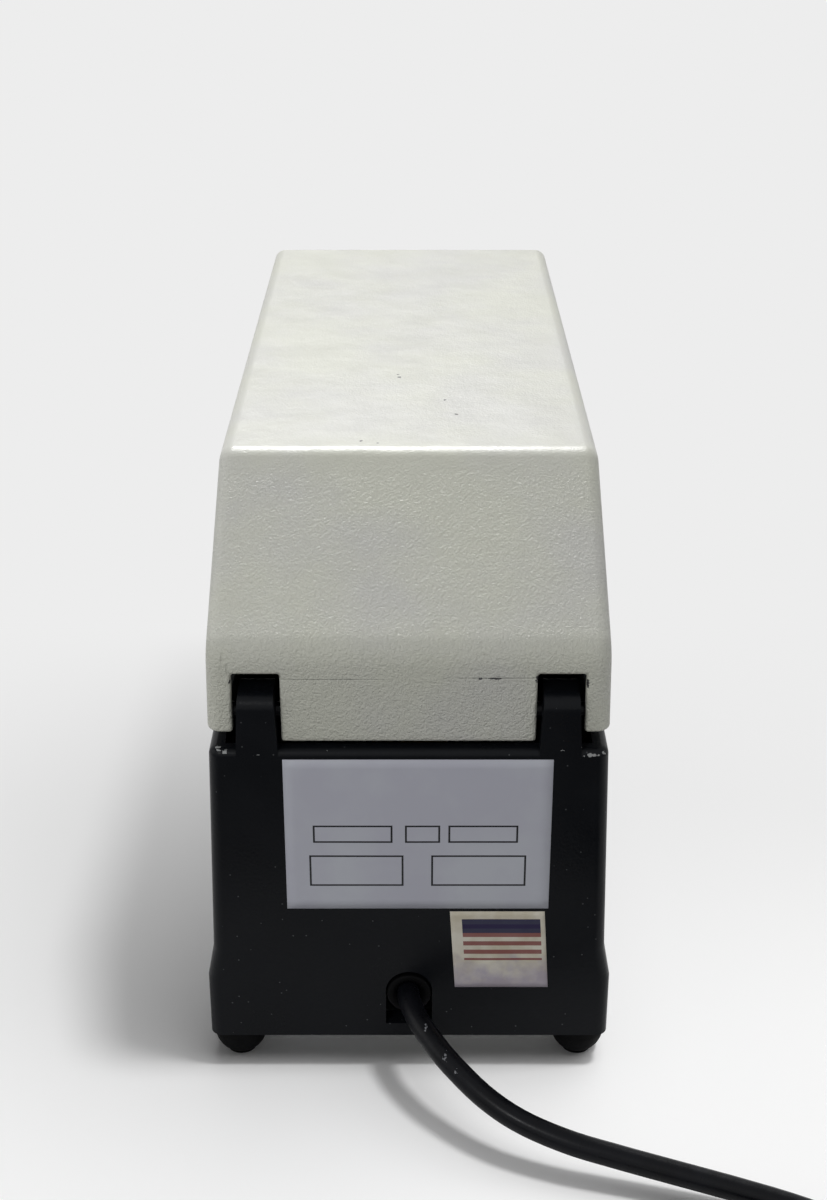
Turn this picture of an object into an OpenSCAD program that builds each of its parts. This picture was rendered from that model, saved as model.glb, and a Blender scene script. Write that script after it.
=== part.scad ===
// Desk time stamp machine: cast base, hinged locking cover, type wheels, ribbon and solenoid hammer.
// The origin is on the desk under the middle of the base. The paper goes in at the front, -Y.

/* [Base casting] */
// Width of the base over its skirt
base_w = 133.4; // [128:0.1:142]
// Depth of the base, front to rear
base_d = 330; // [322:1:345]
// Height of the base casting at the rear
base_h = 109.3; // [106:0.1:114]
// Wall of the base casting
base_wall = 5; // [4:0.5:5.5]
// Radius of the upright corners of the base
base_corner_r = 4; // [2:0.5:6]
// Radius of the rim's outer edge
rim_edge_r = 2.5; // [1:0.5:3]
// How far the skirt stands out on each side
skirt_out = 2.2; // [1:0.1:3]
// Height of the upright part of the skirt
skirt_h = 22.5; // [18:0.5:26]
// Height over which the skirt blends into the side
skirt_blend_h = 11.3; // [8:0.1:14]
// Lean of each side wall from waist to rim
side_lean = 1.9; // [1:0.1:2.4]
// Lean of the front and rear walls from bottom to rim
end_lean = 1.8; // [1:0.1:2.4]
// Drop from the rim to the seat of the paper table
table_drop = 7.5; // [7:0.5:9]
// Depth of the paper table, from the front
table_d = 101; // [99:1:103]
// Height of the side lips above the rim
lip_h = 3.5; // [2:0.5:4]

/* [Feet and bottom] */
// Height of the rubber feet
foot_h = 12.7; // [11:0.1:15]
// Radius of a foot where it meets the base
foot_r = 9; // [8:0.5:9]
// Distance of a foot's centre from the skirt's side
foot_side = 9.2; // [9:0.1:11]
// Distance of a foot's centre from the base's end
foot_end = 11; // [10:0.5:13]
// Thickness of the bottom cover
bottom_t = 1.5; // [1:0.1:2.5]

/* [Hinge] */
// Width of a hinge lug at the rim
lug_w = 13; // [12:0.5:13]
// Distance of a lug's middle from the side of the rim
lug_in = 15.3; // [15:0.1:15.6]
// Height of a lug above the rim
lug_h = 18.5; // [17:0.5:19.5]
// Thickness of a lug, front to rear
lug_t = 17; // [16:0.5:19]
// Radius of the hinge pin
pin_r = 2.5; // [2:0.1:3]
// Height of the hinge pin above the rim
hinge_up = 10; // [9.8:0.1:10.5]
// Distance of the hinge pin from the rear face of a lug
hinge_in = 8.7; // [8.4:0.1:9]

/* [Cover] */
// How far the cover's lower edge stands out past each side of the rim
cover_over = 0.4; // [0:0.1:2]
// Height of the cover
cover_h = 72.7; // [72:0.1:80]
// Gap between the rim and the lower edge of the cover
cover_gap = 4.8; // [4.4:0.1:5.5]
// How far the cover's ends stand back from the rim
cover_back = 3; // [2.5:0.1:3.4]
// Wall of the cover
cover_wall = 4; // [3:0.5:4]
// Radius of the cover's outer edges
cover_edge_r = 3; // [2:0.5:3.5]
// Lean of each side of the cover
cover_lean = 1.6; // [1:0.1:1.8]
// Lean of the front of the cover
front_lean = 1.7; // [1:0.1:2]
// Height of the upright rear band of the cover
rear_band = 26.2; // [24:0.1:29]
// Length of the rear slope, seen from above
slope_run = 58; // [50:0.5:60]
// Radius of the soft bend below the rear slope
bend_r = 20; // [10:1:26]
// How far the tongue between the lugs hangs below the cover
tongue_drop = 3.3; // [2:0.1:3.4]
// Width of a notch for a lug
notch_w = 15; // [14.6:0.1:15.4]
// Height of a notch above the lower edge
notch_h = 20.3; // [19.6:0.1:22]

/* [Lock] */
// Height of the lock above the cover's lower edge
lock_up = 23.2; // [23:0.1:24]
// Radius of the lock barrel
lock_r = 8; // [7:0.5:8.5]
// Radius of the turning plug
plug_turn_r = 6; // [4:0.5:6.2]
// Length of the lock cam from the plug's axis
cam_len = 22; // [20:0.5:23]
// Width of the lock cam
cam_w = 10; // [8:0.5:10]

/* [Frame of the mechanism] */
// Height of the chassis plate above the base's bottom
chassis_up = 31.3; // [29:0.1:33]
// Thickness of the chassis plate
chassis_t = 3; // [2:0.5:3]
// Distance between the side plates
plate_gap = 64; // [63:0.5:65]
// Thickness of a side plate
plate_t = 3; // [2:0.5:3]
// Clear height between the side plates and the roof of the cover
head_gap = 7.5; // [6.5:0.1:8.5]
// Thickness of the paper table
table_t = 2; // [1.5:0.1:2.2]
// Clear height between the paper table and the ribbon shield
paper_gap = 6.5; // [6:0.1:7]

/* [Type wheels] */
// Radius over the raised type
type_r = 22; // [21.5:0.1:22.2]
// Height of the raised type
type_h = 1.4; // [1:0.1:2]
// Radius of the type shaft
type_shaft_r = 4; // [3:0.1:5]
// Width of the day, year, hour and minute wheels
wheel_w = 8; // [7:0.1:8]
// Width of the month wheel
month_w = 11; // [9:0.1:11]
// Distance of the type shaft from the front of the base
type_in = 65; // [64.5:0.1:65.5]

/* [Gear train] */
// Width of the gears
gear_w = 3; // [2:0.1:3.2]
// Teeth on the minute gear
minute_teeth = 38; // [36:1:38]
// Teeth on the idler gear
idler_teeth = 24; // [22:1:24]
// Teeth on the motor pinion
pinion_teeth = 16; // [14:1:16]
// Radius of the motor
motor_r = 22; // [18:0.5:23]
// Length of the motor
motor_len = 21; // [16:0.5:21]

/* [Ribbon] */
// Width of the ribbon
ribbon_w = 50; // [40:0.5:51]
// Radius of the spool flanges
spool_r = 15; // [13:0.5:15.2]
// Radius of the ribbon on the front spool
front_roll_r = 9; // [7:0.5:12]
// Radius of the ribbon on the rear spool
rear_roll_r = 12; // [7:0.5:13]
// Radius of the ribbon guide rods
guide_r = 3; // [2.5:0.1:3]

/* [Hammer and solenoid] */
// Distance of the hammer pivot behind the trigger's switch
pivot_back = 7; // [6.8:0.1:7.5]
// Radius of the hammer pivot
hammer_pin_r = 3; // [2.5:0.1:4]
// Distance from the hammer pivot back to the plunger
tail_reach = 52; // [50:0.5:54]
// Width of the platen
platen_w = 48; // [40:0.5:48]
// Radius of the plunger
plunger_r = 6; // [5:0.1:6.5]

/* [Paper trigger] */
// Radius of the trigger pivot
trigger_pin_r = 2; // [1.5:0.1:2.5]
// Height of the trigger finger above the paper table
finger_up = 5; // [3:0.1:5.5]

/* [Cord] */
// Diameter of the mains cord
cord_d = 7.5; // [6:0.1:7.7]
// Radius of the arched cord opening
arch_r = 7.7; // [7.6:0.1:9]
// Height of the arch's top above the base's bottom
arch_up = 25.8; // [24:0.1:27]
// Outer radius of the coil's middle line
coil_r = 51; // [50:0.5:53]

/* [Hidden] */
$fn = 48;
hull_fn = 32;
step = 0.01;
fit = 0.05;
press = 0.02;
clear = 0.3;
gap = 0.5;
gear_m = 1;

enamel = [0.1, 0.11, 0.12];
cream = [0.9, 0.9, 0.86];
steel = [0.66, 0.67, 0.69];
dark_steel = [0.36, 0.37, 0.39];
brass = [0.78, 0.62, 0.3];
rubber = [0.07, 0.07, 0.08];
plastic = [0.16, 0.16, 0.17];
ink = [0.08, 0.06, 0.12];
copper = [0.68, 0.36, 0.2];

// Levels and ends of the castings
z_base = foot_h;
z_rim = z_base + base_h;
z_skirt = z_base + skirt_h;
z_waist = z_skirt + skirt_blend_h;
z_seat = z_rim - table_drop;
z_table = z_seat + table_t;
y_end = base_d / 2;
y_rim = y_end - end_lean;
y_step = -y_end + table_d;
rim_half = base_w / 2 - skirt_out - side_lean;
cover_w = 2 * (rim_half + cover_over);
hollow_half = rim_half - base_wall;
hollow_end = y_rim - base_wall;

function depth_at(z) = base_d - 2 * end_lean * (z - z_base) / base_h;

// Levels and ends of the cover
z_cover = z_rim + cover_gap;
z_top = z_cover + cover_h;
z_bend = z_cover + rear_band;
y_cover = y_rim - cover_back;
y_slope = y_cover - slope_run;
y_nose = -y_cover;
y_nose_top = y_nose + front_lean;

function cover_half(z) = cover_w / 2 - cover_lean * (z - z_cover) / cover_h;

// Hinge, lock and head
hinge_y = y_rim - hinge_in;
hinge_z = z_rim + hinge_up;
lug_x = rim_half - lug_in;
tongue_half = lug_x - notch_w / 2 - 0.1;
notch_x = tongue_half;
lock_z = z_cover + lock_up;
z_chassis = z_base + chassis_up;
z_floor = z_chassis + chassis_t;
plate_in = plate_gap / 2;
plate_out = plate_in + plate_t;
z_head = z_top - cover_wall - head_gap;
shield_t = 0.8;
z_shield = z_table + paper_gap;
z_arm = z_shield + shield_t;

// Type shaft, gears and spools, each as a point [y, z]
ribbon_t = 0.3;
z_ribbon = z_arm + gap / 2;
type_at = [type_in - y_end, z_ribbon + ribbon_t + 0.7 + type_r];
tooth_add = 0.95;
mesh_1 = gear_m * (minute_teeth + idler_teeth) / 2;
mesh_2 = gear_m * (idler_teeth + pinion_teeth) / 2;
idler_dir = 5;
pinion_dir = 10;
idler_at = type_at + mesh_1 * [cos(idler_dir), sin(idler_dir)];
pinion_at = idler_at + mesh_2 * [cos(pinion_dir), sin(pinion_dir)];
motor_at = pinion_at + [11.4, -3.7];
gear_x = plate_in - gear_w - 1.2;
spool_side = 30;
spool_rise = sqrt(pow(type_r + spool_r + 1.5, 2) - pow(spool_side, 2));
front_at = type_at + [-spool_side, spool_rise];
rear_at = type_at + [spool_side, spool_rise];
spool_shaft_r = 2.5;
spool_half = ribbon_w / 2 + 1;
flange_t = 1;

// Throat of the side plates
y_throat = y_step + 2;
y_frame_front = -(y_cover - 14.2);
y_arm_front = y_frame_front + 20;
z_arm_low = z_seat - 2.5;

// Trigger and switch
trigger_at = [y_step - 2, z_seat - 18.5];
trigger_x = 19;
trigger_w = 3;
nub_up = 12;
switch_y = trigger_at.x + 11;
switch_len = 28;
switch_h = 16;
switch_w = 12;
button_r = 1.5;
button_out = 2.6;

// Hammer, plunger and solenoid
hammer_at = [switch_y + switch_len + pivot_back, z_rim - 19];
hammer_reach = hammer_at.x - type_at.x;
z_platen_rest = z_table - 1.2;
z_strike = z_ribbon - 0.2;
strike_rise = z_strike - z_platen_rest;
strike_angle = asin(strike_rise / hammer_reach);
hammer_half = 8;
pad_t = 2.3;
pad_len = 13;
pin_cross_r = 2;
tail_dir = strike_angle / 2;
tail_pin = hammer_at + tail_reach * [cos(tail_dir), sin(tail_dir)];
plunger_y = hammer_at.x + tail_reach;
y_frame_rear = plunger_y + 38;
solenoid_w = 40;
solenoid_d = 36;
solenoid_h = 33;
z_solenoid = z_floor + solenoid_h;
frame_t = 2.5;
fork_z = tail_pin.y - 11;

// Cord opening
z_arch = z_base + arch_up - arch_r;
cord_z = z_arch - 1.1;
cord_r = cord_d / 2;
cord_in = y_rim - 13;

// General shapes

// Draws its children on the left too, as in a mirror
module both_sides() {
  children();
  mirror([1, 0, 0]) children();
}

// A [y, z] outline carried along X from x0
module across(x0, len) {
  translate([x0, 0, 0]) rotate([90, 0, 90]) linear_extrude(len) children();
}

// An [x, z] outline carried along Y from y0
module along(y0, len) {
  translate([0, y0 + len, 0]) rotate([90, 0, 0]) linear_extrude(len) children();
}

// A rod along X at the point [y, z]
module rod(at, r, x0, x1) {
  translate([x0, at.x, at.y]) rotate([0, 90, 0]) cylinder(r = r, h = x1 - x0);
}

// A bar between two points, in the plane
module bar(a, b, w) {
  along_bar = b - a;
  translate(a) rotate(atan2(along_bar.y, along_bar.x)) translate([0, -w / 2]) square([norm(along_bar), w]);
}

// An upright outline with its two upper corners rounded
module round_top(x0, x1, z0, z1, r) {
  translate([x0, z0]) square([x1 - x0, z1 - r - z0]);
  translate([x0 + r, z0]) square([x1 - x0 - 2 * r, z1 - z0]);
  for (x = [x0 + r, x1 - r]) translate([x, z1 - r]) circle(r = r);
}

// A box from one corner to the other
module block(low, high) {
  translate(low) cube(high - low);
}

// A rounded plate of a given width and depth, used only inside a hull
module slab(z, w, d, r) {
  for (x = [-1, 1], y = [-1, 1])
    translate([x * (w / 2 - r), y * (d / 2 - r), z]) cylinder(r = r, h = step, $fn = hull_fn);
}

// A pan-head screw, its head's underside at z and its shank down
module pan_screw(z, head_r, head_h, shank_r, shank_len) {
  translate([0, 0, z]) cylinder(r = head_r, h = head_h);
  translate([0, 0, z - shank_len]) cylinder(r = shank_r, h = shank_len + step);
}

function unit(v) = v / norm(v);
function left_of(v) = [-v.y, v.x];

// Moves the corner b of the path a, b, c to its left by d
function mitre(a, b, c, d) =
  let (u = left_of(unit(b - a)), v = left_of(unit(c - b)))
  b + d * (u + v) / (1 + u * v);

// A closed outline, moved inward by d
function inset(p, d) =
  let (n = len(p))
  [for (i = [0:n - 1]) mitre(p[(i + n - 1) % n], p[i], p[(i + 1) % n], d)];

// One side of an open path, moved to its left by d
function beside(p, d) =
  let (n = len(p))
  [for (i = [0:n - 1])
    i == 0 ? p[0] + d * left_of(unit(p[1] - p[0]))
    : i == n - 1 ? p[i] + d * left_of(unit(p[i] - p[i - 1]))
    : mitre(p[i - 1], p[i], p[i + 1], d)];

function backwards(p) = [for (i = [len(p) - 1:-1:0]) p[i]];

// Base casting

rim_steps = 4;

module base_outside() {
  hull() {
    slab(z_base, base_w, base_d, base_corner_r);
    slab(z_skirt, base_w, depth_at(z_skirt), base_corner_r);
    slab(z_waist, base_w - 2 * skirt_out, depth_at(z_waist), base_corner_r);
  }
  hull() {
    slab(z_waist, base_w - 2 * skirt_out, depth_at(z_waist), base_corner_r);
    for (i = [0:rim_steps]) {
      a = i * 90 / rim_steps;
      back = rim_edge_r * (1 - cos(a));
      slab(
        z_rim - step - rim_edge_r * (1 - sin(a)), 2 * (rim_half - back), 2 * (y_rim - back), base_corner_r - back
      );
    }
  }
}

skirt_hollow_half = base_w / 2 - base_wall - 0.2;
foot_x = base_w / 2 - foot_side;
foot_y = y_end - foot_end;
boss_r = 7;
boss_top = z_base + 27;
foot_screw_r = 2;
post_x = hollow_half - 9.6;
post_r = 5;
post_ys = [foot_end - y_end + 19, 0, hollow_end - 40.2];
post_screw_r = 1.9;
post_low = z_base + 8;
table_boss_x = hollow_half - 3.6;
table_boss_ys = [-y_rim + 6.2, y_step - 8];
table_screw_r = 1.5;
lip_t = 3;

module base_hollow() {
  block([-hollow_half, -hollow_end, z_base - 1], [hollow_half, hollow_end, z_rim + 1]);
  block([-skirt_hollow_half, -hollow_end, z_base - 1], [skirt_hollow_half, hollow_end, z_skirt - 2]);
}

module table_step() {
  block([-base_w, -base_d, z_seat], [base_w, y_step, z_rim + 1]);
}

module cord_arch() {
  arch_low = 4.9;
  y0 = hollow_end - 1;
  along(y0, y_end + 1 - y0) {
    translate([0, z_arch]) circle(r = arch_r);
    translate([-arch_r, z_base + arch_low]) square([2 * arch_r, z_arch - z_base - arch_low]);
  }
}

module corner_boss() {
  translate([foot_x, foot_y, z_base + bottom_t]) cylinder(r = boss_r, h = boss_top - z_base - bottom_t);
}

module chassis_post(y) {
  translate([post_x, y, post_low]) cylinder(r = post_r, h = z_chassis - post_low);
  block([post_x, y - post_r / 2, post_low + 4], [hollow_half + step, y + post_r / 2, z_chassis]);
}

module table_boss(y) {
  boss_h = 14;
  translate([table_boss_x, y, z_seat - boss_h]) cylinder(r = post_r, h = boss_h);
}

module hinge_lug() {
  taper = 1;
  root = 14;
  top_r = 5;
  low = lug_x - lug_w / 2;
  high = lug_x + lug_w / 2;
  intersection() {
    across(low, lug_w) round_top(y_rim - lug_t, y_rim, z_rim - root, z_rim + lug_h, top_r);
    along(y_rim - lug_t, lug_t) polygon([
      [low, z_rim - root], [high, z_rim - root], [high, z_rim],
      [high - taper, z_rim + lug_h], [low + taper, z_rim + lug_h], [low, z_rim]
    ]);
  }
}

module side_lip() {
  y0 = y_step + 4;
  y1 = y_rim - lug_t - 6;
  x1 = cover_half(z_cover) - cover_wall - 2 * gap;
  block([x1 - lip_t, y0, z_rim - 8], [x1, y1, z_rim + lip_h]);
}

module base_casting() color(enamel) difference() {
  union() {
    difference() {
      base_outside();
      base_hollow();
      table_step();
      cord_arch();
    }
    both_sides() {
      corner_boss();
      mirror([0, 1, 0]) corner_boss();
      for (y = post_ys) chassis_post(y);
      for (y = table_boss_ys) table_boss(y);
      hinge_lug();
      side_lip();
    }
  }
  both_sides() {
    for (y = [-foot_y, foot_y])
      translate([foot_x, y, z_base]) cylinder(r = foot_screw_r + fit, h = 22);
    for (y = post_ys)
      translate([post_x, y, z_chassis - 14]) cylinder(r = post_screw_r + fit, h = 15);
    for (y = table_boss_ys)
      translate([table_boss_x, y, z_seat - 10]) cylinder(r = table_screw_r + fit, h = 11);
    rod([hinge_y, hinge_z], pin_r + fit, lug_x - lug_w, lug_x + lug_w);
  }
}

vent_half = foot_x - 32.5;

module bottom_cover() color(dark_steel) difference() {
  block(
    [-skirt_hollow_half + clear, -hollow_end + clear, z_base],
    [skirt_hollow_half - clear, hollow_end - clear, z_base + bottom_t]
  );
  both_sides() for (y = [-foot_y, foot_y])
    translate([foot_x, y, z_base - 1]) cylinder(r = foot_screw_r + gap, h = bottom_t + 2);
  for (i = [-3:3]) block([-vent_half, i * 12 - 1.5, z_base - 1], [vent_half, i * 12 + 1.5, z_base + bottom_t + 1]);
}

foot_recess = 5;
foot_recess_r = 4.2;

module rubber_feet() color(rubber)
  for (x = [-foot_x, foot_x], y = [-foot_y, foot_y]) translate([x, y, 0]) difference() {
    rotate_extrude() difference() {
      union() {
        square([foot_r * 0.55, foot_h]);
        translate([0, foot_h * 0.66]) square([foot_r, foot_h * 0.34]);
        intersection() {
          translate([0, foot_h * 0.66]) scale(foot_r) circle(r = 1);
          translate([0, 0]) square([foot_r, foot_h * 0.66]);
        }
      }
      square([foot_recess_r, foot_recess]);
      square([foot_screw_r + fit, foot_h + 1]);
    }
  }

module foot_screws() color(steel)
  for (x = [-foot_x, foot_x], y = [-foot_y, foot_y]) translate([x, y, 0]) {
    head_h = 2.6;
    translate([0, 0, foot_recess - head_h]) cylinder(r = foot_recess_r - 0.5, h = head_h);
    cylinder_h = z_base + 20 - foot_recess;
    translate([0, 0, foot_recess]) cylinder(r = foot_screw_r, h = cylinder_h);
  }

// Chassis and side plates

chassis_half = hollow_half - 3.5;
chassis_front = y_frame_front + 1;
chassis_rear = hollow_end - 36.2;
terminal_y = chassis_rear - 30;
flange_x = plate_out + 6;
flange_ys = [type_at.x - 10, hammer_at.x - 2, y_frame_rear - 18];
flange_d = 16;
frame_screw_r = 1.9;

module chassis_plate() color(steel) difference() {
  block([-chassis_half, chassis_front, z_chassis], [chassis_half, chassis_rear, z_floor]);
  both_sides() {
    for (y = post_ys) translate([post_x, y, z_chassis - 1]) cylinder(r = post_screw_r + clear, h = chassis_t + 2);
    for (y = flange_ys)
      translate([flange_x, y, z_chassis - 1]) cylinder(r = frame_screw_r + fit, h = chassis_t + 2);
  }
  for (back = [10, 40])
    block([-20, type_at.x + back, z_chassis - 1], [20, type_at.x + back + 14, z_floor + 1]);
}

module chassis_screws() color(steel) both_sides() {
  for (y = post_ys) translate([post_x, y, 0]) pan_screw(z_floor, 3.6, 2.4, post_screw_r, chassis_t + 10);
  for (y = flange_ys)
    translate([flange_x, y, 0]) pan_screw(z_floor + plate_t, 3.6, 2.4, frame_screw_r, plate_t + chassis_t + 3);
}

spacer_r = 4;
spacer_screw_r = 1.9;
spacer_ats = [
  [y_frame_rear - 9, z_floor + 12], [y_frame_rear - 9, z_rim + 8], [type_at.x - 12, z_floor + 12],
  [hammer_at.x + 26, z_head - 9], [type_at.x, z_head - 7]
];
head_slope = 36;
nose_cut = 12;

// Outline of a side plate: lower arm, column and upper arm round the paper throat
module plate_outline() {
  difference() {
    polygon([
      [y_arm_front, z_floor], [y_frame_rear, z_floor], [y_frame_rear, z_head - head_slope],
      [y_frame_rear - head_slope, z_head], [y_frame_front + nose_cut, z_head],
      [y_frame_front, z_head - nose_cut], [y_frame_front, z_arm], [y_throat, z_arm],
      [y_throat, z_arm_low], [y_arm_front, z_arm_low]
    ]);
    for (at = [[40, z_rim + 26], [0, z_rim - 46], [64, z_rim - 10]])
      translate([hammer_at.x + at.x, at.y]) circle(r = 11);
    translate([type_at.x + 18, z_floor + 26]) circle(r = 14);
  }
}

module side_plate_bores() {
  for (at = spacer_ats) rod(at, spacer_screw_r + fit, plate_in - 1, plate_out + 1);
  rod(type_at, type_shaft_r + fit, plate_in - 1, plate_out + 1);
  for (at = [front_at, rear_at]) rod(at, spool_shaft_r + fit, plate_in - 1, plate_out + 1);
  rod(hammer_at, hammer_pin_r + fit, plate_in - 1, plate_out + 1);
}

module side_plate() difference() {
  union() {
    across(plate_in, plate_t) plate_outline();
    for (y = flange_ys)
      block([plate_in, y - flange_d / 2, z_floor], [flange_x + 6, y + flange_d / 2, z_floor + plate_t]);
  }
  side_plate_bores();
  for (y = flange_ys)
    translate([flange_x, y, z_floor - 1]) cylinder(r = frame_screw_r + clear, h = plate_t + 2);
}

module right_side_plate() color(steel) difference() {
  side_plate();
  rod(idler_at, spool_shaft_r + fit, plate_in - 1, plate_out + 1);
  rod(pinion_at, 4, plate_in - 1, plate_out + 1);
  rod(trigger_at, trigger_pin_r + fit, plate_in - 1, plate_out + 1);
}

pawl_at = front_at + [17, -9];

module left_side_plate() color(steel) mirror([1, 0, 0]) difference() {
  side_plate();
  rod(pawl_at, 2 + fit, plate_in - 1, plate_out + 1);
}

module frame_spacers() color(steel) for (at = spacer_ats) difference() {
  rod(at, spacer_r, -plate_in, plate_in);
  for (x = [-plate_in - 1, plate_in - 9]) rod(at, spacer_screw_r + fit, x, x + 10);
}

module spacer_screws() color(dark_steel) both_sides() for (at = spacer_ats) {
  rod(at, 3.6, plate_out, plate_out + 2.2);
  rod(at, spacer_screw_r, plate_in - 7, plate_out + step);
}

tie_low = z_arm + 4;
tie_high = z_arm + 18;
tie_t = 4;

module front_tie_bar() color(steel)
  block([-plate_in, y_frame_front, tie_low], [plate_in, y_frame_front + tie_t, tie_high]);

cam_t = 2;
lock_tip = y_frame_front - 5;
strike_gap = 2.5;
strike_x0 = 14;
strike_x1 = 26;

module lock_strike() color(steel) {
  tab_t = 2.4;
  tab_z = lock_z + cam_w / 2 + gap;
  block([strike_x0, y_frame_front - strike_gap, tie_low + 1], [strike_x1, y_frame_front, tab_z + tab_t]);
  block([strike_x0, lock_tip - 1.5, tab_z], [strike_x1, y_frame_front, tab_z + tab_t]);
}

module cover_bumpers() color(rubber) both_sides() {
  z_under = z_top - cover_wall - clear;
  translate([plate_in + plate_t / 2, type_at.x - 18, z_head]) cylinder(r = 4, h = z_under - z_head);
}

module terminal_block() color(cream) difference() {
  block([-30, terminal_y, z_floor], [24, terminal_y + 20, z_floor + 13]);
  for (i = [0:4]) {
    x = -25 + i * 11;
    for (y = [5, 15]) translate([x, terminal_y + y, z_floor + 4]) cylinder(r = 2.6, h = 10);
  }
}

// Paper table

window_half = platen_w / 2 + 2.5;
window_d = 22;
table_half = rim_half - 1;
table_nose = -y_rim + 1;
sink_r = 2.9;
sink_t = 1.4;

module paper_table() color(steel) difference() {
  across(-table_half, 2 * table_half) {
    translate([table_nose, z_seat]) square([y_step - gap - table_nose, table_t]);
    translate([table_nose, z_seat + table_t / 2]) circle(r = table_t / 2);
  }
  block([-window_half, type_at.x - window_d / 2, z_seat - 1], [window_half, type_at.x + window_d / 2, z_table + 1]);
  block([trigger_x - 4, y_step - 12, z_seat - 1], [trigger_x + 4, y_step + 1, z_table + 1]);
  both_sides() for (y = table_boss_ys) translate([table_boss_x, y, z_table]) {
    translate([0, 0, -table_t - 1]) cylinder(r = table_screw_r + clear, h = table_t + 2);
    translate([0, 0, -sink_t]) cylinder(r1 = table_screw_r + clear, r2 = sink_r + fit, h = sink_t + step);
  }
}

module table_screws() color(steel) both_sides() for (y = table_boss_ys) translate([table_boss_x, y, z_table]) {
  translate([0, 0, -sink_t]) cylinder(r1 = table_screw_r, r2 = sink_r, h = sink_t);
  translate([0, 0, -table_t - 8]) cylinder(r = table_screw_r, h = table_t + 8 - sink_t + step);
}

module paper_stop() color(dark_steel) difference() {
  across(-45, 90) {
    translate([y_step - 15, z_table]) square([14, 0.8]);
    translate([y_step - 2.5, z_table]) square([1.5, 5.5]);
  }
  block([trigger_x - 4, y_step - 12, z_table - 1], [trigger_x + 4, y_step + 1, z_shield]);
}

// Type wheels

wheel_gap = 0.5;
month_x = -(month_w + 4 * wheel_w + 4 * wheel_gap) / 2;
day_x = month_x + month_w + wheel_gap;
year_x = day_x + wheel_w + wheel_gap;
hour_x = year_x + wheel_w + wheel_gap;
minute_x = hour_x + wheel_w + wheel_gap;
minute_end = minute_x + wheel_w;
wheel_turn = -90;

module type_shaft() color(steel) {
  rod(type_at, type_shaft_r, -plate_out, plate_out);
  for (x = [-plate_out - 3, plate_out]) rod(type_at, 6, x, x + 3);
  rod(type_at, 7, -plate_in, month_x - wheel_gap);
}

// A wheel with raised type segments and a turned recess in each face
module type_wheel(x0, w, count) {
  share = 0.62;
  root_r = type_r - type_h;
  recess = 1;
  difference() {
    translate([x0, type_at.x, type_at.y]) rotate([90, 0, 90]) linear_extrude(w) rotate(wheel_turn) union() {
      circle(r = root_r);
      for (i = [0:count - 1]) rotate(i * 360 / count) {
        half = PI * type_r * share / count;
        translate([root_r - gap, -half]) square([type_h + gap, 2 * half]);
      }
    }
    for (x = [x0 - step, x0 + w - recess]) difference() {
      rod(type_at, root_r - 3, x, x + recess + step);
      rod(type_at, type_shaft_r + 4, x - 1, x + recess + 1);
    }
    rod(type_at, type_shaft_r + fit, x0 - 1, x0 + w + 1);
  }
}

module minute_wheel() color(brass) type_wheel(minute_x, wheel_w, 60);
module hour_wheel() color(brass) type_wheel(hour_x, wheel_w, 24);
module year_wheel() color(brass) type_wheel(year_x, wheel_w, 12);
module day_wheel() color(brass) type_wheel(day_x, wheel_w, 31);
module month_wheel() color(brass) type_wheel(month_x, month_w, 12);

// Gears with involute flanks

pressure = 20;
backlash = 0.2;

// Angle between the start of an involute of base radius rb and its point at radius r
function roll_angle(rb, r) =
  let (t = sqrt(max(0, pow(r / rb, 2) - 1)))
  t * 180 / PI - atan(t);

// Half of a tooth's angle at radius r
function tooth_half(n, r) =
  let (pitch_r = gear_m * n / 2, rb = pitch_r * cos(pressure))
  90 / n - backlash / 2 / pitch_r * 180 / PI / 2 + roll_angle(rb, pitch_r) - roll_angle(rb, max(r, rb));

function tooth_radii(n) =
  let (pitch_r = gear_m * n / 2, rb = pitch_r * cos(pressure), tip = pitch_r + gear_m * tooth_add)
  [pitch_r - 1.25 * gear_m, max(rb, pitch_r - gear_m), pitch_r, (pitch_r + tip) / 2, tip];

function polar(r, a) = r * [cos(a), sin(a)];

module gear_outline(n) {
  radii = tooth_radii(n);
  last = len(radii) - 1;
  polygon([for (i = [0:n - 1])
    let (mid = i * 360 / n)
    for (j = [0:2 * last + 1])
      let (k = j <= last ? j : 2 * last + 1 - j, side = j <= last ? -1 : 1)
      polar(radii[k], mid + side * tooth_half(n, radii[k]))
  ]);
}

// A gear on a rod along X, one tooth's middle in the direction turn
module gear(at, n, turn) {
  translate([gear_x, at.x, at.y]) rotate([90, 0, 90]) linear_extrude(gear_w) rotate(turn) gear_outline(n);
}

// Turns that put each pair of gears in mesh at rest
idler_turn = idler_dir + 180 + 180 / idler_teeth;
idler_pitch = 360 / idler_teeth;
idler_off = (pinion_dir - idler_turn) - idler_pitch * round((pinion_dir - idler_turn) / idler_pitch);
pinion_turn = pinion_dir + 180 + 180 / pinion_teeth + idler_off * idler_teeth / pinion_teeth;

module minute_gear() color(steel) difference() {
  union() {
    gear(type_at, minute_teeth, idler_dir);
    rod(type_at, 8, minute_end, gear_x + step);
    rod(type_at, 8, gear_x, plate_in - clear);
  }
  rod(type_at, type_shaft_r + fit, minute_end - 1, plate_in + 1);
  for (a = [0:60:300]) rod(type_at + polar(13, a), 2.5, gear_x - 1, gear_x + gear_w + 1);
}

module gear_stud() color(steel) {
  rod(idler_at, spool_shaft_r, gear_x - 1.5, plate_out);
  rod(idler_at, 4, plate_out, plate_out + 1.5);
  rod(idler_at, 4, gear_x - 1.8, gear_x - clear);
}

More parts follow.
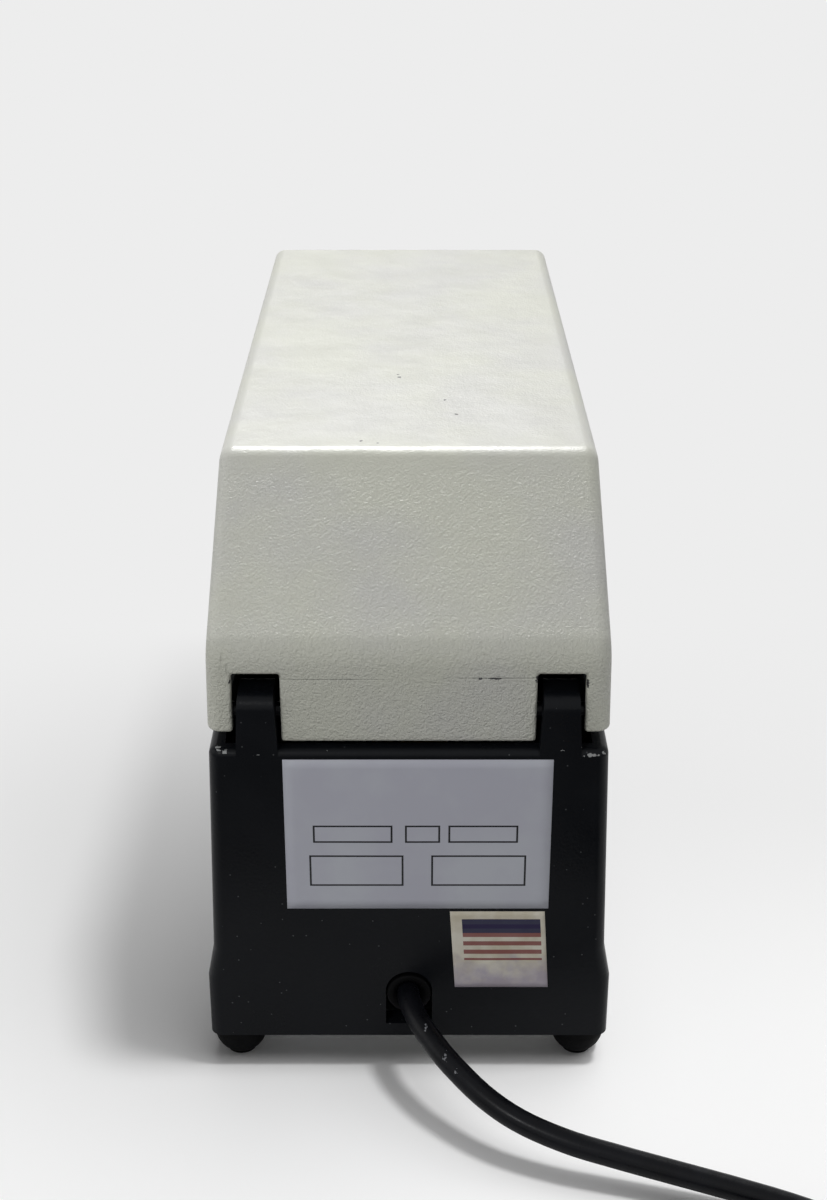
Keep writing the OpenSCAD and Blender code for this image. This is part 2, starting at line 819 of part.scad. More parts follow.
module idler_gear() color(brass) difference() {
  union() {
    gear(idler_at, idler_teeth, idler_turn);
    rod(idler_at, 5, gear_x + step, plate_in - clear);
  }
  rod(idler_at, spool_shaft_r + fit, gear_x - 1, plate_in + 1);
}

motor_shaft_r = 2;

module motor_pinion() color(brass) {
  gear(pinion_at, pinion_teeth, pinion_turn);
  rod(pinion_at, 4.5, gear_x + gear_w - step, plate_in - clear);
  rod(pinion_at, motor_shaft_r, gear_x, plate_out + 3);
}

module synchronous_motor() color(steel) difference() {
  union() {
    rod(motor_at, motor_r, plate_out + 5, plate_out + motor_len - 1);
    rod(motor_at, motor_r - 2, plate_out, plate_out + 6);
    rod(motor_at, motor_r - 4, plate_out + motor_len - 1.5, plate_out + motor_len);
    for (a = [60, 240]) {
      ear = motor_at + polar(motor_r + 3.5, a);
      across(plate_out, 2) {
        bar(motor_at, ear, 9);
        translate(ear) circle(r = 4.5);
      }
    }
  }
  rod(pinion_at, motor_shaft_r + fit, plate_out - 1, plate_out + 3.5);
  for (a = [60, 240]) rod(motor_at + polar(motor_r + 3.5, a), 2, plate_out - 1, plate_out + 3);
}

// Ribbon

guide_front = [front_at.x - 3, z_ribbon + ribbon_t + 0.1 + guide_r];
guide_rear = [rear_at.x + 3, guide_front.y];

module ribbon_guides() color(steel) for (at = [guide_front, guide_rear]) rod(at, guide_r, -plate_in, plate_in);

shield_front = guide_front.x - 5;
shield_rear = guide_rear.x + 4;

module ribbon_shield() color(steel) difference() {
  across(-plate_in, plate_gap) {
    translate([shield_front, z_shield]) square([shield_rear - shield_front, shield_t]);
    translate([shield_front, z_shield]) square([shield_t, 5]);
  }
  block(
    [-window_half, type_at.x - window_d / 2, z_shield - 1],
    [window_half, type_at.x + window_d / 2, z_arm + 1]
  );
}

strip_path = [
  [front_at.x - front_roll_r - clear - ribbon_t / 2, front_at.y],
  [guide_front.x - guide_r - 0.3, z_ribbon + ribbon_t / 2],
  [guide_rear.x + guide_r + 0.3, z_ribbon + ribbon_t / 2],
  [rear_at.x + rear_roll_r + clear + ribbon_t / 2, rear_at.y]
];

module ribbon_strip() color(ink) across(-ribbon_w / 2, ribbon_w)
  polygon(concat(beside(strip_path, ribbon_t / 2), backwards(beside(strip_path, -ribbon_t / 2))));

module spool_shafts() color(steel) for (at = [front_at, rear_at]) {
  rod(at, spool_shaft_r, -plate_out, plate_out);
  rod(at, 4.5, -plate_out - 2.5, -plate_out);
  rod(at, 4.5, plate_out, plate_out + 1.5);
}

core_r = 6;

module spool(at) difference() {
  union() {
    rod(at, core_r, -plate_in + clear, plate_in - clear);
    for (x = [-spool_half, spool_half - flange_t]) rod(at, spool_r, x, x + flange_t);
  }
  rod(at, spool_shaft_r + fit, -plate_in, plate_in);
  for (x = [-spool_half, spool_half - flange_t], a = [0:90:270])
    rod(at + polar(10.5, a), 2, x - 1, x + flange_t + 1);
}

// The ribbon wound on a spool, seated on its core
module ribbon_roll(at, r) difference() {
  rod(at, r, -ribbon_w / 2, ribbon_w / 2);
  rod(at, core_r, -ribbon_w / 2 - 1, ribbon_w / 2 + 1);
}

module front_spool() color(plastic) spool(front_at);
module front_ribbon_roll() color(ink) ribbon_roll(front_at, front_roll_r);
module rear_spool() color(plastic) spool(rear_at);
module rear_ribbon_roll() color(ink) ribbon_roll(rear_at, rear_roll_r);

ratchet_teeth = 24;
ratchet_r = 11;
ratchet_x = -plate_in + 1.5;
ratchet_w = 2.5;

module feed_ratchet() color(steel) difference() {
  translate([ratchet_x, front_at.x, front_at.y]) rotate([90, 0, 90]) linear_extrude(ratchet_w) polygon([
    for (i = [0:ratchet_teeth - 1])
      for (p = [[ratchet_r - 1.6, 0], [ratchet_r, 1]]) polar(p.x, (i + p.y) * 360 / ratchet_teeth - step)
  ]);
  rod(front_at, core_r, ratchet_x - 1, ratchet_x + ratchet_w + 1);
}

pawl_r = 2;
pawl_tip = front_at + polar(ratchet_r + clear, atan2(pawl_at.y - front_at.y, pawl_at.x - front_at.x) - 28);

module feed_pawl() color(steel) difference() {
  across(ratchet_x, ratchet_w) {
    translate(pawl_at) circle(r = 4);
    polygon([pawl_tip, pawl_tip + [1.4, -1.4], pawl_at + [0, -3.6], pawl_at + [0, 3.2]]);
  }
  rod(pawl_at, pawl_r + fit, ratchet_x - 1, ratchet_x + ratchet_w + 1);
}

// Hammer

module hammer_pivot() color(steel) {
  rod(hammer_at, hammer_pin_r, -plate_out, plate_out);
  for (x = [-plate_out - 2, plate_out]) rod(hammer_at, 5, x, x + 2);
  rod(hammer_at, 5.5, -plate_in, -hammer_half - clear);
  rod(hammer_at, 5.5, hammer_half + clear, plate_in);
}

// Turns its children from the striking place down to rest
module at_rest() {
  translate([0, hammer_at.x, hammer_at.y]) rotate([strike_angle, 0, 0])
    translate([0, -hammer_at.x, -hammer_at.y]) children();
}

head_t = 7;
pad_top = z_strike;
pad_low = pad_top - pad_t;
tail_strike = hammer_at + tail_reach * [cos(tail_dir), -sin(tail_dir)];

module hammer_arm() color(dark_steel) at_rest() difference() {
  union() {
    across(-hammer_half, 2 * hammer_half) {
      translate(hammer_at) circle(r = 9);
      translate(tail_strike) circle(r = 5);
      bar(hammer_at, tail_strike, 8);
      polygon([
        hammer_at + [0, -6], hammer_at + [0, 8], [type_at.x + window_d / 2 - 1, z_seat - 3],
        [type_at.x + pad_len / 2, pad_low - head_t + 1], [type_at.x - pad_len / 2, pad_low - head_t + 1],
        [type_at.x - pad_len / 2, pad_low - head_t], [type_at.x - 3, z_seat - 8]
      ]);
    }
    block(
      [-platen_w / 2, type_at.x - pad_len / 2, pad_low - head_t],
      [platen_w / 2, type_at.x + pad_len / 2, pad_low]
    );
    rod(tail_strike, pin_cross_r, -hammer_half - 4.5, hammer_half + 4.5);
  }
  rod(hammer_at, hammer_pin_r + fit, -hammer_half - 1, hammer_half + 1);
}

module platen_pad() color(rubber) at_rest()
  block([-platen_w / 2, type_at.x - pad_len / 2, pad_low], [platen_w / 2, type_at.x + pad_len / 2, pad_top]);

// Solenoid

module solenoid_frame() color(steel) difference() {
  block(
    [-solenoid_w / 2, plunger_y - solenoid_d / 2, z_floor],
    [solenoid_w / 2, plunger_y + solenoid_d / 2, z_solenoid]
  );
  block(
    [-solenoid_w / 2 + frame_t, plunger_y - solenoid_d, z_floor + frame_t],
    [solenoid_w / 2 - frame_t, plunger_y + solenoid_d, z_solenoid - frame_t]
  );
  translate([0, plunger_y, z_solenoid - frame_t - 1]) cylinder(r = plunger_r + gap, h = frame_t + 2);
}

module solenoid_coil() color(copper) {
  low = z_floor + frame_t;
  high = z_solenoid - frame_t;
  cheek = 1.5;
  outer = 15;
  translate([0, plunger_y, 0]) rotate_extrude() difference() {
    union() {
      translate([0, low]) square([outer - 1.5, high - low]);
      translate([0, low]) square([outer, cheek]);
      translate([0, high - cheek]) square([outer, cheek]);
    }
    translate([0, low + cheek]) square([plunger_r + 0.3, high - low]);
  }
}

cheek_in = hammer_half + gap;
cheek_t = 3;

module plunger() color(steel) difference() {
  union() {
    translate([0, plunger_y, z_floor + frame_t + 9]) cylinder(r = plunger_r, h = fork_z - z_floor - frame_t - 9);
    translate([0, plunger_y, fork_z - 2.5]) cylinder(r = cheek_in + cheek_t, h = 2.5);
    both_sides() across(cheek_in, cheek_t) {
      translate([plunger_y - 5, fork_z - 2]) square([10, tail_pin.y - fork_z + 2]);
      translate([plunger_y, tail_pin.y]) circle(r = 5);
    }
  }
  across(-cheek_in - cheek_t - 1, 2 * (cheek_in + cheek_t + 1)) {
    for (dy = [-0.8, 0.8]) translate([plunger_y + dy, tail_pin.y]) circle(r = pin_cross_r + 0.15);
    translate([plunger_y - 0.8, tail_pin.y - pin_cross_r - 0.15]) square([1.6, 2 * pin_cross_r + 0.3]);
  }
}

// A tube of a few flat sides carried along a path, its ends closed
function path_dir(p, i) =
  let (n = len(p))
  i == 0 ? unit(p[1] - p[0]) : i == n - 1 ? unit(p[i] - p[i - 1]) : unit(unit(p[i + 1] - p[i]) + unit(p[i] - p[i - 1]));

function ring_at(c, dir, r, sides) =
  let (side = unit(cross(dir, abs(dir.z) > 0.9 ? [1, 0, 0] : [0, 0, 1])), up = cross(side, dir))
  [for (k = [0:sides - 1]) c + r * (cos(k * 360 / sides) * side + sin(k * 360 / sides) * up)];

module tube(p, r, sides) {
  n = len(p);
  rings = [for (i = [0:n - 1]) each ring_at(p[i], path_dir(p, i), r, sides)];
  walls = [for (i = [0:n - 2], k = [0:sides - 1])
    let (a = i * sides + k, b = i * sides + (k + 1) % sides)
    each [[a, b, b + sides], [a, b + sides, a + sides]]];
  first = [for (k = [0:sides - 1]) sides - 1 - k];
  last_cap = [for (k = [0:sides - 1]) (n - 1) * sides + k];
  polyhedron(points = rings, faces = concat([first], walls, [last_cap]));
}

spring_turns = 4;
spring_wire_r = 0.6;
spring_rings = 12;

module plunger_spring() color(steel) {
  low = z_solenoid + spring_wire_r + press;
  high = fork_z - 2.5 - spring_wire_r - press;
  total = spring_turns * spring_rings;
  coil_mid = plunger_r + 2;
  tube(
    [for (i = [0:total])
      let (a = i * 360 / spring_rings)
      [coil_mid * cos(a), plunger_y + coil_mid * sin(a), low + (high - low) * i / total]],
    spring_wire_r, 6
  );
}

// Paper trigger and its switch

module trigger_pivot() color(steel) {
  rod(trigger_at, trigger_pin_r, trigger_x - trigger_w / 2 - 2, plate_out);
  rod(trigger_at, 3.5, trigger_x - trigger_w / 2 - 2, trigger_x - trigger_w / 2 - clear);
  rod(trigger_at, 3.5, trigger_x + trigger_w / 2 + clear, plate_in);
}

finger_top = z_table + finger_up;
finger_y = y_step - 6;
nub_end = switch_y - button_out - clear;

module trigger_lever() color(dark_steel) difference() {
  across(trigger_x - trigger_w / 2, trigger_w) {
    translate(trigger_at) circle(r = 4.5);
    bar(trigger_at, [finger_y + 1.5, trigger_at.y + nub_up + 2], 5);
    bar([finger_y + 1.5, trigger_at.y + nub_up - 1], [finger_y + 1.5, finger_top], 3);
    translate([finger_y, trigger_at.y + nub_up - 2]) square([nub_end - finger_y, 4]);
  }
  rod(trigger_at, trigger_pin_r + fit, trigger_x - trigger_w, trigger_x + trigger_w);
}

button_z = trigger_at.y + nub_up;

module switch_body() color(plastic) difference() {
  block(
    [trigger_x - switch_w / 2, switch_y, button_z - 6],
    [plate_in, switch_y + switch_len, button_z - 6 + switch_h]
  );
  translate([trigger_x, switch_y - 1, button_z]) rotate([-90, 0, 0]) cylinder(r = button_r + fit, h = 6);
  for (y = [3, switch_len - 3])
    rod([switch_y + y, button_z - 3 + y / 3.2], 1.5, trigger_x - switch_w, plate_in - 4);
}

module switch_button() color(cream)
  translate([trigger_x, switch_y - button_out, button_z]) rotate([-90, 0, 0]) cylinder(r = button_r, h = button_out + 2);

// Cover

bend_turn = atan2(z_top - z_bend, slope_run);
bend_angle = 90 - bend_turn;
bend_back = bend_r * tan(bend_angle / 2);
bend_steps = 6;

// Outline of the cover from the side, from the rear lower corner up and forward
cover_outline = concat(
  [[y_cover, z_cover]],
  [for (i = [0:bend_steps]) [y_cover - bend_r, z_bend - bend_back] + polar(bend_r, i * bend_angle / bend_steps)],
  [[y_slope, z_top], [y_nose_top, z_top], [y_nose, z_cover]]
);

module cover_solid() {
  ball = cover_edge_r;
  hull() for (p = inset(cover_outline, ball), side = [-1, 1])
    translate([side * (cover_half(p.y) - ball), p.x, p.y]) sphere(r = ball, $fn = hull_fn);
}

module cover_inside() {
  inner = inset(cover_outline, cover_wall);
  n = len(inner);
  z_low = z_cover - tongue_drop - 5;
  z_high = z_top - cover_wall;
  half_low = cover_half(z_low) - cover_wall;
  half_high = cover_half(z_high) - cover_wall;
  intersection() {
    across(-cover_w, 2 * cover_w) polygon(concat(
      [[inner[0].x, z_low]], [for (i = [1:n - 2]) inner[i]], [[inner[n - 1].x, z_low]]
    ));
    along(-base_d, 2 * base_d) polygon([
      [-half_low, z_low], [half_low, z_low], [half_high, z_high], [-half_high, z_high]
    ]);
  }
}

tongue_round = 2;

module tongue() across(-tongue_half, 2 * tongue_half) {
  z_tongue = z_cover - tongue_drop;
  translate([y_cover - cover_wall, z_tongue]) square([cover_wall - tongue_round, cover_wall + 8]);
  translate([y_cover - cover_wall, z_tongue + tongue_round]) square([cover_wall, 14]);
  translate([y_cover - tongue_round, z_tongue + tongue_round]) circle(r = tongue_round);
}

boss_clear = 0.4;
hinge_boss_r = 5.5;
inner_boss_x0 = tongue_half - 9;
outer_boss_x0 = notch_x + notch_w + boss_clear;
outer_boss_x1 = cover_half(hinge_z) - cover_wall + gap;

module hinge_bosses() both_sides() {
  rod([hinge_y, hinge_z], hinge_boss_r, inner_boss_x0, tongue_half - boss_clear);
  rod([hinge_y, hinge_z], hinge_boss_r, outer_boss_x0, outer_boss_x1);
}

pad_front = y_nose - 0.8;
pad_rear = y_nose_top + cover_wall + 0.5;

module lock_pad() translate([0, pad_front, lock_z]) rotate([-90, 0, 0]) cylinder(r = 13, h = pad_rear - pad_front);

module cover_shell() color(cream) difference() {
  union() {
    difference() {
      cover_solid();
      cover_inside();
    }
    tongue();
    hinge_bosses();
    lock_pad();
  }
  both_sides() {
    block([notch_x, hinge_y - 12, 0], [notch_x + notch_w, y_end, z_cover + notch_h]);
    rod([hinge_y, hinge_z], pin_r + press, inner_boss_x0 - 1, outer_boss_x1 - clear);
  }
  translate([0, pad_front - 1, lock_z]) rotate([-90, 0, 0]) cylinder(r = lock_r + fit, h = 20);
}

module hinge_pins() color(steel) both_sides() rod([hinge_y, hinge_z], pin_r, inner_boss_x0, outer_boss_x1 - gap);

// Lock, drawn along Y and facing the front

module facing(y0, len, r) translate([0, y0, lock_z]) rotate([-90, 0, 0]) cylinder(r = r, h = len);

flange_front = pad_front - 2;

module lock_body() color(steel) difference() {
  union() {
    facing(flange_front, 2, lock_r + 2.5);
    facing(pad_front - step, lock_tip - gap - pad_front, lock_r);
    translate([0, pad_rear, lock_z]) rotate([-90, 0, 0]) cylinder(r = 11, h = lock_tip - gap - pad_rear, $fn = 6);
  }
  facing(flange_front - 1, lock_tip - flange_front + 2, plug_turn_r + fit);
}

module lock_plug() color(brass) {
  difference() {
    facing(flange_front + 0.2, lock_tip - flange_front - 0.2, plug_turn_r);
    block([-0.7, flange_front - 1, lock_z - 4], [0.7, flange_front + 6, lock_z + 4]);
  }
  along(lock_tip, cam_t) {
    translate([0, lock_z]) circle(r = cam_w / 2);
    translate([-cam_w / 2, lock_z - cam_len]) square([cam_w, cam_len]);
  }
}

// Mains cord

lead_path = concat(
  [[0, cord_in, cord_z], [0, y_end + 1, cord_z]],
  [for (p = [
    [-0.8, 5, 29.1], [-3.9, 12.6, 27.4], [-10, 22.7, 24.9], [-15.6, 29.5, 22.5], [-23.2, 37.2, 19.5], [-31.5, 43.4, 17],
    [-40.2, 47.9, 15], [-51.2, 52.2, 13.2], [-62.1, 55.3, 11.8], [-72.9, 58.2, 10.5], [-88.9, 62.6, 8.8],
    [-99.5, 65.7, 7.8], [-115.1, 70.7, 6.3], [-128, 76.5, 5.3], [-140, 84.5, 4.7], [-150, 94.5, 4.4],
    [-157.5, 106, 4.4], [-162.6, 118.5, 4.4], [-165.2, 130, 4.4]
  ]) [p.x, y_end + p.y, p.z]]
);
coil_at = [-115, y_end + 145];
coil_pitch = cord_d + 0.6;
coil_turns = 6.25;
coil_low = cord_r + 0.6;
layer_rise = cord_d + 0.5;
coil_rings = 24;
coil_sides = 6;

// Middle line of the coil at turn t: in on the lower layer, out on the upper one
function coil_radius(t) = coil_r - coil_pitch * min(t, coil_turns - t);
function coil_level(t) = coil_low + layer_rise * min(1, max(0, (t - coil_turns / 2 + 0.25) / 0.5));
function coil_point(t) =
  [coil_at.x + coil_radius(t) * cos(180 - 360 * t), coil_at.y + coil_radius(t) * sin(180 - 360 * t), coil_level(t)];
coil_start = coil_point(0);
coil_end = coil_point(coil_turns);
coil_path = concat(
  [coil_start - [0, cord_d, 0]],
  [for (i = [0:coil_turns * coil_rings]) coil_point(i / coil_rings)],
  [coil_end + [cord_d, 0, 0]]
);
plug_start = coil_path[len(coil_path) - 1];

// Least gap of the coil to itself, over points a quarter turn or more apart
coil_self_gap = min([
  for (i = [0:3:len(coil_path) - 1], j = [i + 8:1:len(coil_path) - 1]) norm(coil_path[i] - coil_path[j])
]) - cord_d;
echo(coil_self_gap = coil_self_gap);

function run(p) = len(p) < 2 ? 0 : [for (i = [1:len(p) - 1]) norm(p[i] - p[i - 1])] * [for (i = [1:len(p) - 1]) 1];
echo(cord_length = run(concat(lead_path, coil_path)));

module cord_lead() color(rubber) tube(concat(lead_path, [coil_path[0]]), cord_r, 10);
module cord_coil() color(rubber) tube(coil_path, cord_r, coil_sides);

grommet_r = arch_r - clear;

module cord_grommet() color(rubber) difference() {
  union() {
    translate([0, hollow_end, cord_z]) rotate([-90, 0, 0]) cylinder(r = grommet_r, h = y_end - hollow_end);
    translate([0, hollow_end - 2, cord_z]) rotate([-90, 0, 0]) cylinder(r = grommet_r + 2, h = 2);
    translate([0, cord_in - 10, cord_z]) rotate([-90, 0, 0]) cylinder(r1 = cord_r + 1, r2 = grommet_r, h = hollow_end - 2 - cord_in + 10);
  }
  translate([0, cord_in - 11, cord_z]) rotate([-90, 0, 0]) cylinder(r = cord_r + fit, h = 40);
}

lead_in_z = z_floor + 10;
inner_path = [
  [0, cord_in, cord_z], [0, cord_in - 11.2, cord_z], [-1, cord_in - 15.2, cord_z + 1.5],
  [-4, cord_in - 18.7, lead_in_z - 21], [-7, cord_in - 20.7, lead_in_z - 14], [-9, cord_in - 22.2, lead_in_z - 7],
  [-10.5, cord_in - 25.7, lead_in_z - 2], [-11, cord_in - 31.7, lead_in_z], [-11, terminal_y + 20, lead_in_z]
];

module inner_lead() color(rubber) tube(inner_path, cord_r, 8);

// The tie is a flat band round all the strands, where the coil passes the direction tie_angle
tie_angle = -30;
tie_turn = (180 - tie_angle) / 360;
tie_far = coil_radius(tie_turn) + cord_r;
tie_near = coil_radius(tie_turn + 3) - cord_r;
band_w = 5;
band_t = 0.5;

module cord_tie() color(plastic) {
  low = coil_low - cord_r - 0.05;
  high = coil_low + layer_rise + cord_r + 0.2;
  translate([coil_at.x, coil_at.y, 0]) rotate(tie_angle) along(-band_w / 2, band_w) difference() {
    translate([tie_near - clear - band_t, low - band_t])
      square([tie_far - tie_near + 2 * (clear + band_t), high - low + 2 * band_t]);
    translate([tie_near - clear, low]) square([tie_far - tie_near + 2 * clear, high - low]);
  }
}

plug_len = 38;
plug_half_w = 13;
plug_half_h = 10;

module plug_body() color(rubber) translate([plug_start.x, plug_start.y, plug_start.z]) {
  rotate([0, 90, 0]) cylinder(r1 = cord_r + 1, r2 = 6.4, h = 20);
  hull() {
    translate([16, 0, 0]) rotate([0, 90, 0]) cylinder(r = 7, h = 1, $fn = hull_fn);
    for (y = [-1, 1], z = [-1, 1])
      translate([plug_len - 8, y * (plug_half_w - 3), z * (plug_half_h - 3)])
        rotate([0, 90, 0]) cylinder(r = 3, h = 8, $fn = hull_fn);
  }
}

module plug_blades() color(brass) translate([plug_start.x + plug_len, plug_start.y, plug_start.z]) {
  for (y = [-6.35, 6.35]) block([0, y - 0.75, -5.2], [17, y + 0.75, 1.2]);
  translate([0, 0, 5.6]) rotate([0, 90, 0]) cylinder(r = 2.4, h = 20);
}

base_casting();
bottom_cover();
rubber_feet();
foot_screws();
cord_grommet();
cord_lead();
cord_coil();
cord_tie();
plug_body();
plug_blades();
inner_lead();
terminal_block();
chassis_plate();
chassis_screws();
right_side_plate();
left_side_plate();
frame_spacers();
spacer_screws();
front_tie_bar();
lock_strike();
cover_bumpers();
paper_table();
table_screws();
paper_stop();
type_shaft();
minute_wheel();
minute_gear();
hour_wheel();
year_wheel();
day_wheel();
month_wheel();
gear_stud();
idler_gear();
motor_pinion();
synchronous_motor();
ribbon_guides();
ribbon_shield();
ribbon_strip();
spool_shafts();
front_spool();
front_ribbon_roll();
feed_ratchet();
feed_pawl();
rear_spool();
rear_ribbon_roll();
hammer_pivot();
hammer_arm();
platen_pad();
solenoid_frame();
solenoid_coil();
plunger();
plunger_spring();
trigger_pivot();
trigger_lever();
switch_body();
switch_button();
cover_shell();
hinge_pins();
lock_body();
lock_plug();
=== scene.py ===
"""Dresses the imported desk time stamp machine: skins, finishes, mains lead, light and camera.

Sizes in the classes are millimetres in the frame of the CAD model, and become metres as a mesh is written.
"""

import logging
import math
from dataclasses import dataclass, field
from enum import Enum

import bmesh
import bpy
import numpy as np
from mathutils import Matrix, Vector


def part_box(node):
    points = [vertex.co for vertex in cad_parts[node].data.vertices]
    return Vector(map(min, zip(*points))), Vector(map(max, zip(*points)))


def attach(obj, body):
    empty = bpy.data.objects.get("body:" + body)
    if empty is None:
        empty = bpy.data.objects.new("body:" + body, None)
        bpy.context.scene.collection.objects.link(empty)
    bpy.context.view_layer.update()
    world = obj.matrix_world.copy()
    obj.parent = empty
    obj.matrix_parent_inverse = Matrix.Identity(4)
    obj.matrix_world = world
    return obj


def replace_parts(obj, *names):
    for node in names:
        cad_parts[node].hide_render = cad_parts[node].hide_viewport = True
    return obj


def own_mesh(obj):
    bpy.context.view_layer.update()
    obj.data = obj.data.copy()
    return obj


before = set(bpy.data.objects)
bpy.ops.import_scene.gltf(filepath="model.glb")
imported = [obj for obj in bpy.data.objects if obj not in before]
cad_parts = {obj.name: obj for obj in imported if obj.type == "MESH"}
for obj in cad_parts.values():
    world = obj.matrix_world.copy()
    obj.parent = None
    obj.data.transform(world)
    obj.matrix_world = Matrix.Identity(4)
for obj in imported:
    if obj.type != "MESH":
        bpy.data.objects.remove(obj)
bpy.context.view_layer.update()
log = logging.getLogger("time_stamp")

Array = np.ndarray
Socket = bpy.types.NodeSocket
Tree = bpy.types.ShaderNodeTree
Piece = bpy.types.Object


class Body(Enum):
    """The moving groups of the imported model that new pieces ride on."""

    BASE = "base"
    COVER = "cover"


class Slot(Enum):
    """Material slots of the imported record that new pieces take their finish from."""

    ENAMEL = "black_enamel"
    CREAM = "cream_paint"
    ZINC = "zinc_steel"
    RUBBER = "black_rubber"
    CORD = "cord_rubber"


# Arithmetic of shapes


def unit(v: Array) -> Array:
    """Vectors scaled to length one, along the last axis."""
    return v / np.maximum(np.linalg.norm(v, axis=-1, keepdims=True), 1e-12)


def densify(path: Array, spacing: float) -> Array:
    """Puts points at an even spacing on each straight stretch of a path.

    Args:
        path: corner points, one row each.
        spacing: the longest step that is left.

    Returns:
        The corners and the new points between them, in order.
    """
    steps = np.maximum(1, np.ceil(np.linalg.norm(np.diff(path, axis=0), axis=1) / spacing)).astype(int)
    shares = [np.linspace(0, 1, n, endpoint=False)[:, None] for n in steps]
    parts = [a + (b - a) * share for a, b, share in zip(path, path[1:], shares)]
    return np.concatenate([*parts, path[-1:]])


def round_corners(corners: Array, radii: list[float], steps: int = 8) -> Array:
    """Replaces each inner corner of an open path with an arc that touches both of its sides.

    An arc of radius r that turns by a starts r tan(a / 2) before its corner, and its centre lies
    r / cos(a / 2) from the corner, on the line that halves it.

    Args:
        corners: points of the open path, one row each.
        radii: radius at each inner corner.
        steps: straight pieces in each arc.

    Returns:
        The rounded path.
    """
    parts = [corners[:1]]
    for before, at, after, r in zip(corners, corners[1:], corners[2:], radii):
        u, v = unit(at - before), unit(after - at)
        turn = math.acos(float(np.clip(u @ v, -1, 1)))
        centre = at + unit(v - u) * r / math.cos(turn / 2)
        spoke = at - u * r * math.tan(turn / 2) - centre
        way = np.sign(u[0] * v[1] - u[1] * v[0]) * turn * np.linspace(0, 1, steps + 1)
        c, s = np.cos(way), np.sin(way)
        parts.append(centre + np.stack([spoke[0] * c - spoke[1] * s, spoke[0] * s + spoke[1] * c], axis=1))
    return np.concatenate([*parts, corners[-1:]])


def left_normals(path: Array) -> Array:
    """Unit normals to the left of a flat path, from the mean direction at each point."""
    d = unit(np.gradient(path, axis=0))
    return np.stack([-d[:, 1], d[:, 0]], axis=1)


def curve_through(points: Array, per_span: int) -> Array:
    """A smooth curve through points, made of one cubic for each span.

    Between p1 and p2 the curve is half of 2 p1 + (p2 - p0) t + (2 p0 - 5 p1 + 4 p2 - p3) t^2
    + (3 p1 - p0 - 3 p2 + p3) t^3, so its direction at p1 is that from p0 to p2.

    Args:
        points: the points to pass through, one row each.
        per_span: new points for each span.

    Returns:
        The points of the curve.
    """
    padded = np.concatenate([2 * points[:1] - points[1:2], points, 2 * points[-1:] - points[-2:-1]])
    p0, p1, p2, p3 = (padded[i : len(points) - 1 + i, None] for i in range(4))
    t = np.linspace(0, 1, per_span, endpoint=False)[None, :, None]
    square, cube = 2 * p0 - 5 * p1 + 4 * p2 - p3, 3 * p1 - p0 - 3 * p2 + p3
    spans = (2 * p1 + (p2 - p0) * t + square * t**2 + cube * t**3) / 2
    return np.concatenate([spans.reshape(-1, points.shape[1]), points[-1:]])


def grid_quads(rows: int, cols: int, wrap: bool = False) -> Array:
    """Quads that join neighbours on a grid of rows by cols points, the last column to the first if wrap."""
    r = np.arange(rows - 1)[:, None]
    c = np.arange(cols if wrap else cols - 1)[None]
    a, b = r * cols + c, r * cols + (c + 1) % cols
    return np.stack([a, b, b + cols, a + cols], axis=-1).reshape(-1, 4)


def end_caps(rings: int, sides: int) -> list[list[int]]:
    """Triangles that close both ends of a grid of rings, each from a middle point that follows the grid."""
    k, last = np.arange(sides), rings * sides
    start = np.stack([np.full(sides, last), (k + 1) % sides, k], axis=1)
    end = np.stack([np.full(sides, last + 1), last - sides + k, last - sides + (k + 1) % sides], axis=1)
    return [*start.tolist(), *end.tolist()]


# Meshes and pieces


def new_piece(name: str, mesh: bpy.types.Mesh, body: Body, finish: "Finish") -> Piece:
    """Puts a mesh in the scene as a smooth piece in a finish, that rides on a body."""
    mesh.polygons.foreach_set("use_smooth", np.ones(len(mesh.polygons), bool))
    mesh.materials.clear()
    mesh.materials.append(finish.material())
    piece = bpy.data.objects.new(name, mesh)
    bpy.context.scene.collection.objects.link(piece)
    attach(piece, body.value)
    log.info("%s: %d faces, on %s", name, len(mesh.polygons), body.value)
    return piece


def write_piece(
    name: str, points: Array, faces: Array | list, body: Body, finish: "Finish",
    uv: Array | None = None,
) -> Piece:
    """Puts points and faces into a new smooth piece that rides on a body.

    Args:
        name: the piece's name.
        points: n by 3 array in millimetres.
        faces: rows of point numbers, in turning order seen from outside.
        body: what the piece rides on.
        finish: the finish it is dressed in.
        uv: two coordinates for each point, if a pattern follows the surface.

    Returns:
        The new object.
    """
    mesh = bpy.data.meshes.new(name)
    mesh.from_pydata((np.asarray(points, float) / 1000).tolist(), [], [list(map(int, f)) for f in faces])
    if uv is not None:
        corners = np.zeros(len(mesh.loops), np.int32)
        mesh.loops.foreach_get("vertex_index", corners)
        mesh.uv_layers.new(name="surface").data.foreach_set("uv", np.asarray(uv, float)[corners].ravel())
    mesh.update()
    return new_piece(name, mesh, body, finish)


def weld(piece: Piece, reach: float = 0.002) -> Piece:
    """Merges a piece's doubled points and drops its collapsed faces, then turns its faces outwards."""
    work = bmesh.new()
    work.from_mesh(piece.data)
    bmesh.ops.remove_doubles(work, verts=work.verts, dist=reach / 1000)
    bmesh.ops.dissolve_degenerate(work, dist=reach / 1000, edges=work.edges)
    bmesh.ops.recalc_face_normals(work, faces=work.faces)
    work.to_mesh(piece.data)
    work.free()
    return piece


def add_modifier(piece: Piece, kind: str, **settings: object) -> bpy.types.Modifier:
    """Adds a modifier of a kind to a piece, with its settings."""
    modifier = piece.modifiers.new(kind.title(), kind)
    for name, value in settings.items():
        setattr(modifier, name, value)
    return modifier


